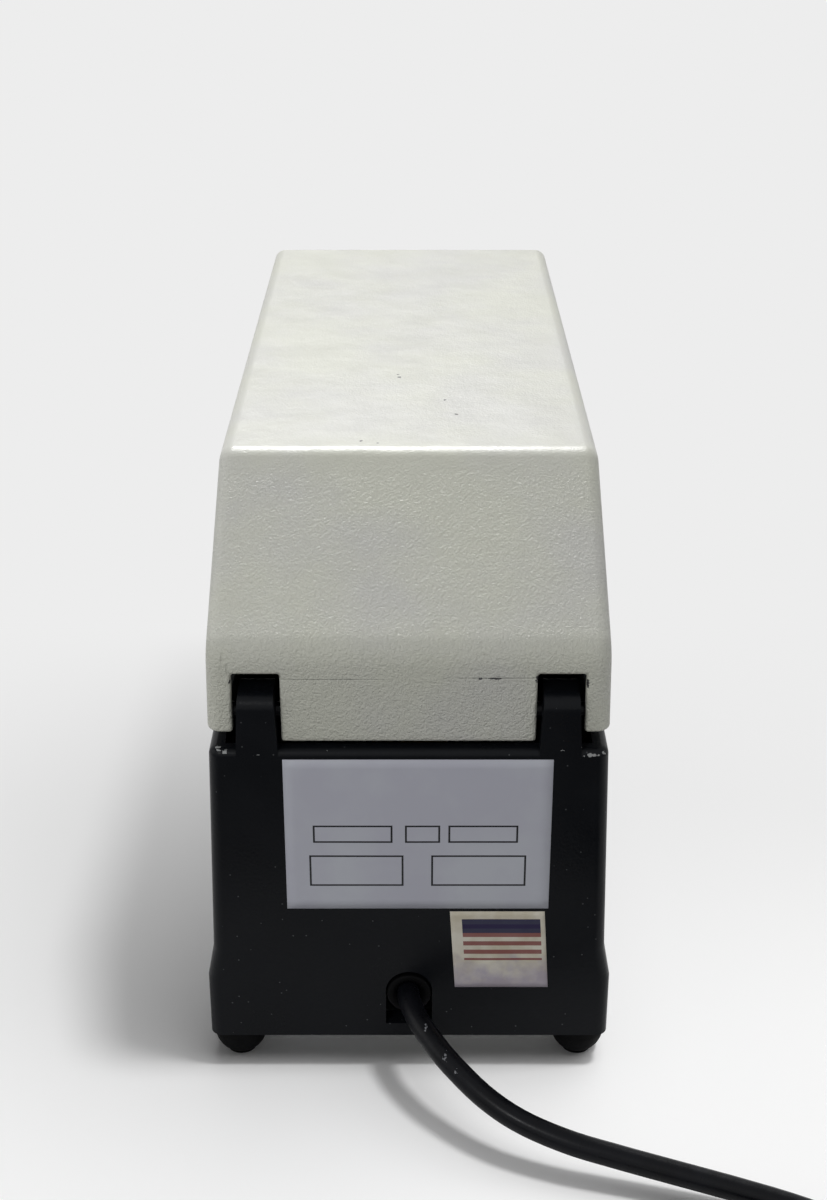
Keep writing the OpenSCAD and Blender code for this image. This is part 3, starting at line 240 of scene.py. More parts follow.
def soften(piece: Piece, width: float, angle: float = 40.0, segments: int = 3) -> Piece:
    """Rounds a piece's sharp edges to a width in millimetres, and keeps its flats flat in shading."""
    add_modifier(piece, "BEVEL", width=width / 1000, limit_method="ANGLE", angle_limit=math.radians(angle),
                 segments=segments, use_clamp_overlap=True, harden_normals=False)
    add_modifier(piece, "WEIGHTED_NORMAL", keep_sharp=True, weight=60)
    return piece


def join_shapes(*shapes: tuple[Array, Array]) -> tuple[Array, list]:
    """Puts several shapes of points and faces into one."""
    points, faces, start = [], [], 0
    for p, f in shapes:
        points.append(np.asarray(p, float).reshape(-1, 3))
        faces.extend([[int(i) + start for i in row] for row in f])
        start += len(points[-1])
    return np.concatenate(points), faces


def lathe(profile: Array, origin: Array, axis: str, steps: int = 64) -> tuple[Array, Array]:
    """Turns a profile round an axis.

    A point (r, h) of the profile becomes the circle of radius r at height h along the axis.

    Args:
        profile: rows of radius and height, in order.
        origin: the point that height 0 lies at.
        axis: "x", "y" or "z", the way that height grows.
        steps: points on each circle.

    Returns:
        Points and quads.
    """
    a = np.linspace(0, 2 * np.pi, steps, endpoint=False)
    r, h = np.asarray(profile, float).T
    r, h = r[:, None], h[:, None]
    ring = np.stack(np.broadcast_arrays(r * np.cos(a), r * np.sin(a), h), axis=-1)
    order = {"z": [0, 1, 2], "x": [2, 0, 1], "y": [1, 2, 0]}[axis]
    return np.asarray(origin, float) + ring[..., order].reshape(-1, 3), grid_quads(len(r), steps, wrap=True)


def pipe(path: Array, radius: Array | float, sides: int) -> tuple[Array, list, Array]:
    """A round tube along a path, with closed ends.

    Each ring lies across the path: it goes round in the level direction across the path and in the
    direction square to both.

    Args:
        path: middle points, one row each.
        radius: one radius, or one for each point.
        sides: points on each ring.

    Returns:
        Points, faces, and two coordinates for each point: length along the path, and turn round it.
    """
    along = unit(np.gradient(path, axis=0))
    across = unit(np.cross(along, [0.0, 0.0, 1.0]))
    up = np.cross(across, along)
    a = np.linspace(0, 2 * np.pi, sides, endpoint=False)
    r = np.broadcast_to(np.asarray(radius, float), len(path))[:, None, None]
    c, s = np.cos(a)[None, :, None], np.sin(a)[None, :, None]
    rings = path[:, None] + r * (c * across[:, None] + s * up[:, None])
    run = np.concatenate([[0], np.cumsum(np.linalg.norm(np.diff(path, axis=0), axis=1))])
    uv = np.stack(np.broadcast_arrays(run[:, None] / 1000, (a / (2 * np.pi))[None]), axis=-1).reshape(-1, 2)
    points = np.concatenate([rings.reshape(-1, 3), path[:1], path[-1:]])
    skin = grid_quads(len(path), sides, wrap=True).tolist()
    faces = [face[::-1] for face in (*skin, *end_caps(len(path), sides))]
    return points, faces, np.concatenate([uv, [[0, 0]], [[run[-1] / 1000, 0]]])


# Materials


def linear(code: str) -> tuple[float, float, float, float]:
    """The linear colour of an sRGB hex code."""
    s = np.array([int(code[i : i + 2], 16) for i in (1, 3, 5)]) / 255
    return (*np.where(s <= 0.04045, s / 12.92, ((s + 0.055) / 1.055) ** 2.4).tolist(), 1.0)


def add(tree: Tree, kind: str, wires: dict | tuple = (), out: int = 0, **settings: object) -> Socket:
    """Adds a node with its settings and links.

    Args:
        tree: the material's node tree.
        kind: the node's type, without the ShaderNode that it starts with.
        wires: the socket or value that each input takes, by its name or number, or in the order of inputs.
        out: number of the output to return.
        settings: the node's own settings.

    Returns:
        The chosen output.
    """
    node = tree.nodes.new("ShaderNode" + kind)
    for name, value in settings.items():
        setattr(node, name, value)
    for name, value in wires.items() if isinstance(wires, dict) else enumerate(wires):
        if isinstance(value, Socket):
            tree.links.new(value, node.inputs[name])
        else:
            node.inputs[name].default_value = value
    return node.outputs[out]


# The values of noise between which a surface goes from one tone, or gloss, to the other
PATCH_EDGES = (0.38, 0.62)
GLOSS_EDGES = (0.3, 0.7)


@dataclass(frozen=True)
class Finish:
    """A surface of one real material: broad unevenness in colour and gloss, and a fine grain in relief.

    patch_mm is the size of the patches of colour, and grain_mm that of the grain.
    """

    name: str
    colour: str
    shade: str
    roughness: float
    metallic: float = 0.0
    ior: float = 1.5
    specular: float = 0.5
    patch_mm: float = 30.0
    grain_mm: float = 1.0
    grain_depth_mm: float = 0.02
    gloss_swing: float = 0.08

    def layers(self, tree: Tree, place: Socket) -> list[tuple[Socket, str]]:
        """Masks of what lies on the main colour, each with its sRGB code, the lowest first."""
        return []

    def tint(self, tree: Tree, place: Socket) -> Socket:
        """Colour, from the main one to the shade in soft patches, then the finish's own layers."""
        noise = add(tree, "TexNoise", {"Vector": place, "Scale": 1000 / self.patch_mm, "Detail": 4.0})
        patches = add(tree, "MapRange", (noise, *PATCH_EDGES))
        colour: Socket | tuple = linear(self.colour)
        for mask, code in [(patches, self.shade), *self.layers(tree, place)]:
            colour = add(tree, "Mix", {0: mask, 6: colour, 7: linear(code)}, 2, data_type="RGBA")
        return colour

    def gloss(self, tree: Tree, place: Socket) -> Socket:
        """Roughness, uneven at a third of the patch size."""
        uneven = add(tree, "TexNoise", {"Vector": place, "Scale": 3000 / self.patch_mm, "Detail": 5.0})
        low, high = self.roughness - self.gloss_swing, self.roughness + self.gloss_swing
        return add(tree, "MapRange", (uneven, *GLOSS_EDGES, low, high))

    def relief(self, tree: Tree, place: Socket) -> Socket:
        """Height of the fine grain, from 0 to about 1."""
        return add(tree, "TexNoise", {"Vector": place, "Scale": 1000 / self.grain_mm})

    def material(self) -> bpy.types.Material:
        """The Blender material of this finish, made once."""
        found = bpy.data.materials.get(self.name)
        if found:
            return found
        made = bpy.data.materials.new(self.name)
        made.use_nodes = True
        tree = made.node_tree
        tree.nodes.clear()
        place = add(tree, "TexCoord", out=3)
        deep = self.grain_depth_mm / 1000
        bump = add(tree, "Bump", {"Height": self.relief(tree, place), "Distance": deep})
        shader = add(tree, "BsdfPrincipled", {
            "Base Color": self.tint(tree, place), "Roughness": self.gloss(tree, place), "Normal": bump,
            "Metallic": self.metallic, "IOR": self.ior, "Specular IOR Level": self.specular,
        })
        tree.links.new(shader, tree.nodes.new("ShaderNodeOutputMaterial").inputs["Surface"])
        return made


@dataclass(frozen=True)
class Mark:
    """A small worn or soiled spot: its middle, and its half sizes along X, Y and Z."""

    at: tuple[float, ...]
    half: tuple[float, ...]


def marks_at(*rows: tuple[float, ...]) -> tuple[Mark, ...]:
    """Marks from rows of six numbers: the middle, then the half sizes."""
    return tuple(Mark(row[:3], row[3:]) for row in rows)


def mark_depth(tree: Tree, place: Socket, marks: tuple[Mark, ...]) -> Socket:
    """How deep a place lies in the marks: 1 at a mark's middle, 0 on its border, below 0 outside.

    It is 1 less the length of the offset from a mark's middle, measured in its half sizes, and the
    largest of these over the marks.
    """
    depth: Socket | None = None
    for mark in marks:
        scale = tuple(1000 / h for h in mark.half)
        shift = tuple(-a / h for a, h in zip(mark.at, mark.half))
        offset = add(tree, "VectorMath", (place, scale, shift), operation="MULTIPLY_ADD")
        length = add(tree, "VectorMath", (offset,), 1, operation="LENGTH")
        one = add(tree, "Math", (1.0, length), operation="SUBTRACT")
        depth = one if depth is None else add(tree, "Math", (depth, one), operation="MAXIMUM")
    return depth


def marked(
    tree: Tree, place: Socket, marks: tuple[Mark, ...], ragged_mm: float, sparse: float = 1.25
) -> Socket:
    """A mask that is 1 in the marks and 0 outside, ragged with noise.

    Args:
        tree: the material's node tree.
        place: object coordinates.
        marks: the spots.
        ragged_mm: size of the bits that the noise breaks a spot into.
        sparse: 1.25 fills a spot to its border, and 1.7 leaves scattered bits of it.

    Returns:
        The mask.
    """
    noise = add(tree, "TexNoise", {"Vector": place, "Scale": 1000 / ragged_mm, "Detail": 3.0})
    push = 2.2
    pushed = add(tree, "Math", (noise, push, mark_depth(tree, place, marks)), operation="MULTIPLY_ADD")
    return add(tree, "Math", (pushed, sparse), operation="GREATER_THAN")


@dataclass(frozen=True)
class PowderCoatedCasting(Finish):
    """Thick cream paint baked on a casting: pebbled on its walls and smoother on top, with wear.

    Heights are in millimetres: the pebbles fade to top_share over smooth_from, and grow to low_gain
    below rough_to. A rise is how high something stands, as a share of grain_depth_mm.
    """

    chips: tuple[Mark, ...] = ()
    specks: tuple[Mark, ...] = ()
    creases: tuple[Mark, ...] = ()
    nibs: tuple[Mark, ...] = ()
    bare: str = "#3A3A3C"
    smooth_from: tuple[float, float] = (192.0, 199.0)
    rough_to: tuple[float, float] = (150.0, 162.0)
    top_share: float = 0.25
    low_gain: float = 2.0
    cell_rise: float = -0.5
    wave_rise: float = 1.5
    crease_rise: float = -1.3
    nib_rise: float = 2.0

    def pebbles(self, tree: Tree, place: Socket) -> Socket:
        """Pebbles about grain_mm across: rounded cells on a place that noise has warped, and a finer noise.

        The cells are 1.3 grains apart, the warp moves them by up to two thirds of a grain, and the
        finer noise has 1.4 bits to a grain.
        """
        warp = add(tree, "TexNoise", {"Vector": place, "Scale": 600 / self.grain_mm}, 1)
        reach = (self.grain_mm / 1500,) * 3
        moved = add(tree, "VectorMath", (warp, reach, place), operation="MULTIPLY_ADD")
        rounded = {"Vector": moved, "Scale": 780 / self.grain_mm, "Smoothness": 0.7}
        cells = add(tree, "TexVoronoi", rounded, feature="SMOOTH_F1")
        fine = add(tree, "TexNoise", {"Vector": place, "Scale": 1400 / self.grain_mm})
        return add(tree, "Math", (cells, self.cell_rise, fine), operation="MULTIPLY_ADD")

    def relief(self, tree: Tree, place: Socket) -> Socket:
        """Pebbles that deepen low down and fade on top, on broad waves, with the creases and the nibs."""
        height = add(tree, "SeparateXYZ", (place,), 2)
        low, high = (z / 1000 for z in self.smooth_from)
        share = add(tree, "MapRange", (height, low, high, 1.0, self.top_share))
        low, high = (z / 1000 for z in self.rough_to)
        more = add(tree, "MapRange", (height, low, high, self.low_gain, 1.0))
        share = add(tree, "Math", (share, more), operation="MULTIPLY")
        grain = add(tree, "Math", (self.pebbles(tree, place), share), operation="MULTIPLY")
        waves = add(tree, "TexNoise", {"Vector": place, "Scale": 60.0})
        relief = add(tree, "Math", (waves, self.wave_rise, grain), operation="MULTIPLY_ADD")
        for marks, rise in ((self.creases, self.crease_rise), (self.nibs, self.nib_rise)):
            inside = add(tree, "Math", (mark_depth(tree, place, marks), 0.0), operation="MAXIMUM")
            relief = add(tree, "Math", (inside, rise, relief), operation="MULTIPLY_ADD")
        return relief

    def layers(self, tree: Tree, place: Socket) -> list[tuple[Socket, str]]:
        """Dark specks, and chips that show the metal."""
        return [(marked(tree, place, self.chips + self.specks, 0.6), self.bare)]


@dataclass(frozen=True)
class BakedEnamel(Finish):
    """Black baking enamel on a casting: slightly uneven gloss, dust nibs, and silver chips on its edges."""

    chips: tuple[Mark, ...] = ()
    bare: str = "#A9ABAB"
    dust: str = "#4A4C4E"

    def layers(self, tree: Tree, place: Socket) -> list[tuple[Socket, str]]:
        """Sparse pale dust nibs, about 4 mm apart, and the chips."""
        cells = add(tree, "TexVoronoi", {"Vector": place, "Scale": 260.0})
        nibs = add(tree, "Math", (cells, 0.07), operation="LESS_THAN")
        return [(nibs, self.dust), (marked(tree, place, self.chips, 1.0, 1.62), self.bare)]


@dataclass(frozen=True)
class DrawnMetal(Finish):
    """Rolled or turned metal, whose fine lines run along one axis."""

    lines: tuple[float, float, float] = (1.0, 1.0, 0.04)

    def relief(self, tree: Tree, place: Socket) -> Socket:
        """Lines: noise on a place that is squeezed along the axis they run in."""
        squeezed = add(tree, "VectorMath", (place, self.lines), operation="MULTIPLY")
        return add(tree, "TexNoise", {"Vector": squeezed, "Scale": 1000 / self.grain_mm, "Detail": 3.0})


@dataclass(frozen=True)
class WovenRibbon(Finish):
    """Inked woven ribbon: crossing threads, drawn at 0.8 mm so that they show."""

    def relief(self, tree: Tree, place: Socket) -> Socket:
        """Two sets of waves, one along each thread direction, added."""
        woven = {"Vector": place, "Scale": 1000 / self.grain_mm / 2.5}
        threads = tuple(add(tree, "TexWave", woven, 1, bands_direction=way) for way in ("X", "Y"))
        return add(tree, "Math", threads, operation="ADD")


@dataclass(frozen=True)
class JacketWithPaintedHighlight(Finish):
    """Extruded rubber jacket of a mains lead: a soft gloss, with pale marks on it that are a painted
    highlight.
    """

    highlight_grey: str = "#8A8C90"
    painted_highlights: tuple[Mark, ...] = ()

    def layers(self, tree: Tree, place: Socket) -> list[tuple[Socket, str]]:
        """The painted highlight: pale marks on the cord's upper side."""
        return [(marked(tree, place, self.painted_highlights, 0.9), self.highlight_grey)]


@dataclass(frozen=True)
class PrintedLabel(Finish):
    """Coated paper label, with a form of empty ruled boxes on it in its own two coordinates."""

    ink: str = "#1B1B20"
    boxes: tuple[tuple[float, float, float, float], ...] = ()
    line: float = 0.0056
    aspect: float = 1.5

    def layers(self, tree: Tree, place: Socket) -> list[tuple[Socket, str]]:
        """A line along the border of each box.

        The distance outside a box is the larger of the distances beyond its half width and its half
        height, and the line is where that is nearer to 0 than half a line.
        """
        flat = add(tree, "TexCoord", out=2)
        ink: Socket | None = None
        for u0, u1, v0, v1 in self.boxes:
            middle = (-(u0 + u1) / 2, -(v0 + v1) / 2, 0.0)
            moved = add(tree, "VectorMath", (flat, middle), operation="ADD")
            far = add(tree, "VectorMath", (moved,), operation="ABSOLUTE")
            less = (-self.aspect * (u1 - u0) / 2, -(v1 - v0) / 2, 0.0)
            wide = add(tree, "VectorMath", (far, (self.aspect, 1.0, 0.0), less), operation="MULTIPLY_ADD")
            axes = add(tree, "SeparateXYZ", (wide,)).node.outputs
            beyond = add(tree, "Math", (axes[0], axes[1]), operation="MAXIMUM")
            near = add(tree, "Math", (beyond, 0.0, self.line), operation="COMPARE")
            ink = near if ink is None else add(tree, "Math", (ink, near), operation="MAXIMUM")
        return [(ink, self.ink)]


@dataclass(frozen=True)
class AgedSticker(Finish):
    """Aged paper sticker: cream paper, a violet stain low down and a faded panel of blue over red bands."""

    stain: str = "#A79DC0"
    red: str = "#8A3A3C"
    blue: str = "#23264C"
    panel: tuple[float, float, float, float] = (0.12, 0.95, 0.36, 0.9)
    bands: float = 9.0

    def layers(self, tree: Tree, place: Socket) -> list[tuple[Socket, str]]:
        """The stain and the panel, each where its mask of the sheet's coordinates is 1.

        The panel's blue is its upper third, and below it the red bands are where the sine of the
        height is above 0.
        """
        flat = add(tree, "TexCoord", out=2)
        u, v, _ = add(tree, "SeparateXYZ", (flat,)).node.outputs
        blots = add(tree, "TexNoise", {"Vector": flat, "Scale": 3.5, "Detail": 4.0})
        low = add(tree, "Math", (v, -1.1, blots), operation="MULTIPLY_ADD")
        stained = add(tree, "MapRange", (low, 0.05, 0.4))
        u0, u1, v0, v1 = self.panel
        wide = add(tree, "Math", (u, (u0 + u1) / 2, (u1 - u0) / 2), operation="COMPARE")
        high = add(tree, "Math", (v, (v0 + v1) / 2, (v1 - v0) / 2), operation="COMPARE")
        within = add(tree, "Math", (wide, high), operation="MULTIPLY")
        upper = add(tree, "Math", (v, v1 - (v1 - v0) / 3), operation="GREATER_THAN")
        turn = add(tree, "Math", (v, self.bands * 2 * math.pi), operation="MULTIPLY")
        wave = add(tree, "Math", (turn,), operation="SINE")
        band = add(tree, "Math", (wave, 0.0), operation="GREATER_THAN")
        reds, blues = (add(tree, "Math", (within, part), operation="MULTIPLY") for part in (band, upper))
        full = ((stained, 0.6, self.stain), (reds, 0.85, self.red), (blues, 0.95, self.blue))
        return [(add(tree, "Math", (mask, most), operation="MULTIPLY"), code) for mask, most, code in full]


# Baked enamel on cast metal: deep black with a low gloss, chipped to bright metal on its edges
ENAMEL = BakedEnamel(
    "baked_black_enamel", "#0E1014", "#131519", 0.33,
    specular=0.1, patch_mm=60, grain_mm=1.1, grain_depth_mm=0.06,
    chips=marks_at(
        (65.2, 162.6, 121.2, 2.0, 2.0, 2.2), (59.4, 161.0, 122.0, 1.5, 2.0, 1.2),
        (57.0, 162.5, 121.4, 1.2, 2.0, 1.3), (-61.5, 162.5, 121.0, 1.8, 2.0, 1.5),
        (-57.0, 163.0, 120.4, 4.2, 1.6, 0.9), (-64.6, 164.3, 46.5, 1.6, 2.4, 2.4),
        (-66.6, 163.0, 39.0, 1.0, 2.0, 4.5), (-54.2, 163.0, 124.5, 0.9, 1.5, 2.2),
        (-47.6, 163.2, 122.2, 1.2, 1.0, 0.8), (47.0, 163.2, 120.6, 1.2, 1.0, 0.2),
        (-15.0, 162.8, 121.6, 2.0, 1.0, 0.5), (24.0, 162.8, 121.6, 7.0, 1.0, 0.22),
    ),
)
# Powder coat on cast metal: warm white, pebbled like orange peel, with a soft sheen
CREAM = PowderCoatedCasting(
    "cream_powder_coat", "#DBDCCF", "#D7D7D1", 0.34,
    patch_mm=45, grain_mm=0.9, grain_depth_mm=0.29, gloss_swing=0.04,
    chips=marks_at(
        (-39.6, 160.2, 145.4, 0.8, 1.2, 1.6), (-54.9, 160.2, 144.0, 0.6, 1.2, 1.8),
        (-22.0, 160.2, 145.75, 0.9, 1.0, 0.5), (-26.5, 160.2, 145.85, 2.4, 1.0, 0.35),
        (54.9, 160.2, 144.4, 0.5, 1.2, 1.0), (39.6, 160.2, 146.6, 0.5, 1.0, 0.5),
    ),
    specks=marks_at(
        (3.6, 30.0, 199.5, 0.8, 1.0, 0.8), (4.1, 27.0, 199.5, 0.5, 0.6, 0.6),
        (-12.5, 55.0, 199.5, 0.6, 0.7, 0.6), (-16.0, 70.0, 199.5, 0.7, 0.9, 0.7),
        (15.6, 96.0, 199.5, 0.6, 0.8, 0.6), (10.2, 98.0, 199.5, 0.5, 0.6, 0.6),
    ),
    creases=marks_at(
        (24.0, 160.2, 145.4, 20.0, 2.0, 0.35), (-28.0, 160.2, 145.9, 22.0, 2.0, 0.35),
        (55.6, 160.0, 148.6, 0.4, 3.0, 2.6), (57.0, 159.5, 152.5, 0.6, 3.0, 2.8),
    ),
    nibs=marks_at(
        (53.5, 136.0, 172.4, 0.7, 0.9, 0.7), (5.5, 108.0, 194.8, 0.6, 0.8, 0.6),
        (-39.0, 159.0, 157.6, 0.9, 0.9, 0.7), (-23.0, 159.6, 154.0, 0.6, 0.9, 0.5),
    ),
)
# Zinc plated on rolled steel: bright grey with fine upright rolling lines
ZINC = DrawnMetal(
    "bright_zinc_plate", "#B9BBBD", "#A5A6A2", 0.34,
    metallic=0.9, patch_mm=25, grain_mm=0.4, grain_depth_mm=0.01,
)
# Oil blackened steel: dark, with a dull metal sheen
BLACKENED = Finish(
    "blackened_steel", "#26282B", "#303236", 0.42,
    metallic=0.55, patch_mm=18, grain_mm=0.6, grain_depth_mm=0.02,
)
# Turned and milled brass: warm yellow, with fine tool lines along X
BRASS = DrawnMetal(
    "machined_brass", "#C9A65E", "#B08A48", 0.3,
    metallic=1.0, patch_mm=14, grain_mm=0.3, grain_depth_mm=0.008, lines=(0.05, 1.0, 1.0),
)
# Polished chrome plate: a clear mirror with hardly any grain
CHROME = Finish(
    "chrome_plate", "#D5D7DA", "#C6C8CC", 0.12,
    metallic=1.0, patch_mm=20, grain_mm=2.0, grain_depth_mm=0.004, gloss_swing=0.04,
)
# Moulded rubber: dead black and matt
RUBBER = Finish(
    "moulded_rubber", "#070708", "#0C0C0D", 0.6,
    specular=0.05, patch_mm=8, grain_mm=0.7, grain_depth_mm=0.04,
)
# Extruded rubber: black with a soft gloss along the cord, and a painted highlight of pale marks on its upper
# side near the grommet
JACKET = JacketWithPaintedHighlight(
    "extruded_rubber_jacket", "#0B0C10", "#111217", 0.3,
    specular=0.12, patch_mm=12, grain_mm=1.2, grain_depth_mm=0.03,
    # Pale marks on the cord's upper side just out of the grommet: a painted highlight
    painted_highlights=marks_at(
        (-5.5, 181.4, 29.2, 0.6, 2.6, 1.3), (-11.6, 191.6, 26.2, 0.9, 2.2, 1.5),
        (-15.4, 196.4, 24.0, 1.1, 1.6, 1.3), (-22.6, 203.6, 21.4, 1.5, 1.0, 1.2),
    ),
)
# Moulded ABS: soft black from a lightly etched mould
BLACK_ABS = Finish(
    "moulded_black_abs", "#1D1D20", "#242427", 0.45,
    patch_mm=15, grain_mm=0.5, grain_depth_mm=0.015,
)
# Moulded phenolic: ivory, a little yellowed and uneven
IVORY = Finish(
    "moulded_ivory_phenolic", "#D8D0B6", "#CFC5A6", 0.4,
    patch_mm=15, grain_mm=0.5, grain_depth_mm=0.01,
)
# Varnished cotton tape: amber and coarse, with a soft gloss
TAPE = Finish(
    "varnished_coil_tape", "#B98A3A", "#9C6E28", 0.38,
    patch_mm=9, grain_mm=1.5, grain_depth_mm=0.05,
)
# Woven and inked ribbon: purple-black and matt, its threads just seen
RIBBON = WovenRibbon(
    "inked_woven_ribbon", "#18141F", "#231D2E", 0.75,
    specular=0.3, patch_mm=10, grain_mm=0.8, grain_depth_mm=0.05,
)
# Coated paper: cool grey-white with a faint sheen
LABEL = PrintedLabel(
    "coated_paper_label", "#D0D3DC", "#C9CAD6", 0.45,
    specular=0.3, patch_mm=25, grain_mm=2.0, grain_depth_mm=0.01,
    boxes=((0.109, 0.401, 0.457, 0.562), (0.455, 0.58, 0.457, 0.562), (0.618, 0.873, 0.457, 0.562),
           (0.093, 0.442, 0.163, 0.361), (0.554, 0.906, 0.163, 0.361)),
)
# Aged uncoated paper: cream and matt
STICKER = AgedSticker(
    "aged_paper_sticker", "#F2EDDF", "#DDD5C0", 0.6,
    specular=0.2, patch_mm=8, grain_mm=1.5, grain_depth_mm=0.03,
)


def dress(finish: Finish, *nodes: str) -> None:
    """Puts a finish on CAD nodes whose shape stays."""
    for name in nodes:
        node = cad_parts[name]
        node.data.materials.clear()
        node.data.materials.append(finish.material())
        log.info("%s: %s", name, finish.name)


def refined(node: str, width: float, body: Body, finish: Finish, angle: float = 35.0) -> Piece:
    """A copy of a CAD node with its triangles merged into flats and its sharp edges rounded.

    Args:
        node: name of the CAD node that the copy replaces.
        width: width of the rounded edges in millimetres.
        body: what it rides on.
        finish: the finish it is dressed in.
        angle: edges sharper than this are rounded, in degrees.

    Returns:
        The copy.
    """
    work = bmesh.new()
    work.from_mesh(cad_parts[node].data)
    bmesh.ops.remove_doubles(work, verts=work.verts, dist=1e-5)
    bmesh.ops.dissolve_limit(work, angle_limit=math.radians(0.8), verts=work.verts, edges=work.edges)
    mesh = bpy.data.meshes.new(node + "_refined")
    work.to_mesh(mesh)
    work.free()
    piece = new_piece(node + "_refined", mesh, body, finish)
    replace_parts(soften(piece, width, angle, 2), node)
    return piece


# Mains lead


@dataclass
class MainsLead:
    """The round cord, its storage coil and tie, the moulded plug and the grommet in the base."""

    radius: float = 3.75
    exit: tuple[float, float, float] = (0.0, 150.2, 29.7)
    route: tuple[tuple[float, float, float], ...] = (
        (0, 150.2, 29.7), (0, 158, 29.7), (0, 166, 29.7), (-0.8, 170, 29.1), (-3.9, 177.6, 27.4),
        (-10, 187.7, 24.9), (-15.6, 194.5, 22.5), (-23.2, 202.2, 19.5), (-31.5, 208.4, 17),
        (-40.2, 212.9, 15), (-51.2, 217.2, 13.2), (-62.1, 220.3, 11.8), (-72.9, 223.2, 10.5),
        (-88.9, 227.6, 8.8), (-99.5, 230.7, 7.8), (-115.1, 235.7, 6.3), (-128, 241.5, 5.3),
        (-140, 249.5, 4.7), (-150, 259.5, 4.4), (-157.5, 271, 4.4), (-162.6, 283.5, 4.4), (-165.2, 295, 4.4),
    )
    coil_at: tuple[float, float] = (-115.0, 310.0)
    coil_radius: float = 51.0
    pitch: float = 8.1
    turns: float = 6.25
    low: float = 4.35
    rise: float = 8.0
    plug_length: float = 38.0
    plug_half: tuple[float, float] = (12.9, 9.9)
    sleeve_radii: tuple[float, float] = (4.4, 5.9)
    plug_rings: int = 40
    plug_sides: int = 48

    def coil(self) -> Array:
        """Middle line of the coil.

        The radius shrinks by the pitch each turn to the half way turn, then grows at the same rate on
        the upper layer, and the line climbs between the layers in the half turn round the middle.
        """
        t = np.arange(0, self.turns + 1e-6, 1 / 24)
        r = self.coil_radius - self.pitch * np.minimum(t, self.turns - t)
        a = np.pi - 2 * np.pi * t
        z = self.low + self.rise * np.clip((t - self.turns / 2 + 0.25) / 0.5, 0, 1)
        line = np.stack([self.coil_at[0] + r * np.cos(a), self.coil_at[1] + r * np.sin(a), z], axis=1)
        lead_in, lead_out = line[0] - [0, 2 * self.radius, 0], line[-1] + [2 * self.radius, 0, 0]
        return np.concatenate([lead_in[None], line, lead_out[None]])

    def centreline(self) -> Array:
        """The whole cord's middle line, smooth from the grommet to the plug."""
        points = np.concatenate([np.array(self.route, float), self.coil()])
        return curve_through(points, 3)

    def cord(self) -> Piece:
        """The cord, as one round tube along its middle line."""
        line = self.centreline()
        points, faces, uv = pipe(line, self.radius, 20)
        piece = weld(write_piece("mains_cord", points, faces, Body.BASE, JACKET, uv), 0.001)
        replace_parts(piece, "cord_lead", "cord_coil")
        return piece

    def plug(self, start: Array) -> Piece:
        """The moulded plug: a sleeve round the cord that swells to a rounded block.

        Each cross section is a superellipse, |y / a|^n + |z / b|^n = 1, whose half width a, half
        height b and exponent n go smoothly from those of the cord to those of the block. Of the
        length, the first third has ribs, the swell takes 0.36 to 0.58, and the last 0.05 rounds off.
        """
        rings, sides = self.plug_rings, self.plug_sides
        thin, thick = self.sleeve_radii
        s = np.linspace(0, 1, rings)
        swell = np.clip((s - 0.36) / 0.22, 0, 1)
        ease = swell**2 * (3 - 2 * swell)
        end = np.sqrt(np.clip(1 - np.clip((s - 0.95) / 0.05, 0, 1) ** 2 * 0.12, 0, 1))
        sleeve = thin + (thick - thin) * np.clip(s / 0.4, 0, 1)
        a, b = ((sleeve + (half - thick) * ease) * end for half in self.plug_half)
        ribs = 0.35 * np.sin(s * 2 * np.pi * 12) * (s < 0.34) * (s > 0.03)
        n = 2 + 3.5 * ease
        t = np.linspace(0, 2 * np.pi, sides, endpoint=False)
        c, w = np.cos(t)[None], np.sin(t)[None]
        y = (a + ribs)[:, None] * np.sign(c) * np.abs(c) ** (2 / n[:, None])
        z = (b + ribs)[:, None] * np.sign(w) * np.abs(w) ** (2 / n[:, None])
        x = np.broadcast_to((self.plug_length * s)[:, None], y.shape)
        skin = (start + np.stack([x, y, z], axis=-1)).reshape(-1, 3)
        points = np.concatenate([skin, [start], [start + [self.plug_length, 0, 0]]])
        faces = [*grid_quads(rings, sides, True).tolist(), *end_caps(rings, sides)]
        piece = write_piece("moulded_plug", points, faces, Body.BASE, JACKET)
        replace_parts(weld(piece, 0.001), "plug_body")
        return piece

    def grommet(self) -> Piece:
        """The rubber grommet: flange inside, lipped face outside, and a tapered sleeve on the cord."""
        arc = np.linspace(0, np.pi / 2, 7)
        lip = np.stack([6.6 + 0.7 * np.cos(arc), 164.2 + 0.7 * np.sin(arc)], 1)
        dish = [[5.9, 165.0], [5.2, 164.6], [4.5, 163.8], [4.0, 163.2], [3.81, 162.4], [3.81, 140.3]]
        back = [[4.7, 140.3], [7.2, 155.6], [9.2, 156.0], [9.3, 158.1], [7.3, 158.2]]
        profile = np.concatenate([lip, dish, back, lip[:1]])
        points, faces = lathe(profile, (0, 0, self.exit[2]), "y")
        piece = write_piece("cord_grommet_rubber", points, faces, Body.BASE, RUBBER)
        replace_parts(weld(piece), "cord_grommet")
        return piece

    def make(self) -> None:
        cord, line = self.cord(), self.centreline()
        plug = self.plug(line[-1])
        self.grommet()
        dress(BRASS, "plug_blades")
        dress(BLACK_ABS, "cord_tie")
        dress(JACKET, "inner_lead")


# Castings


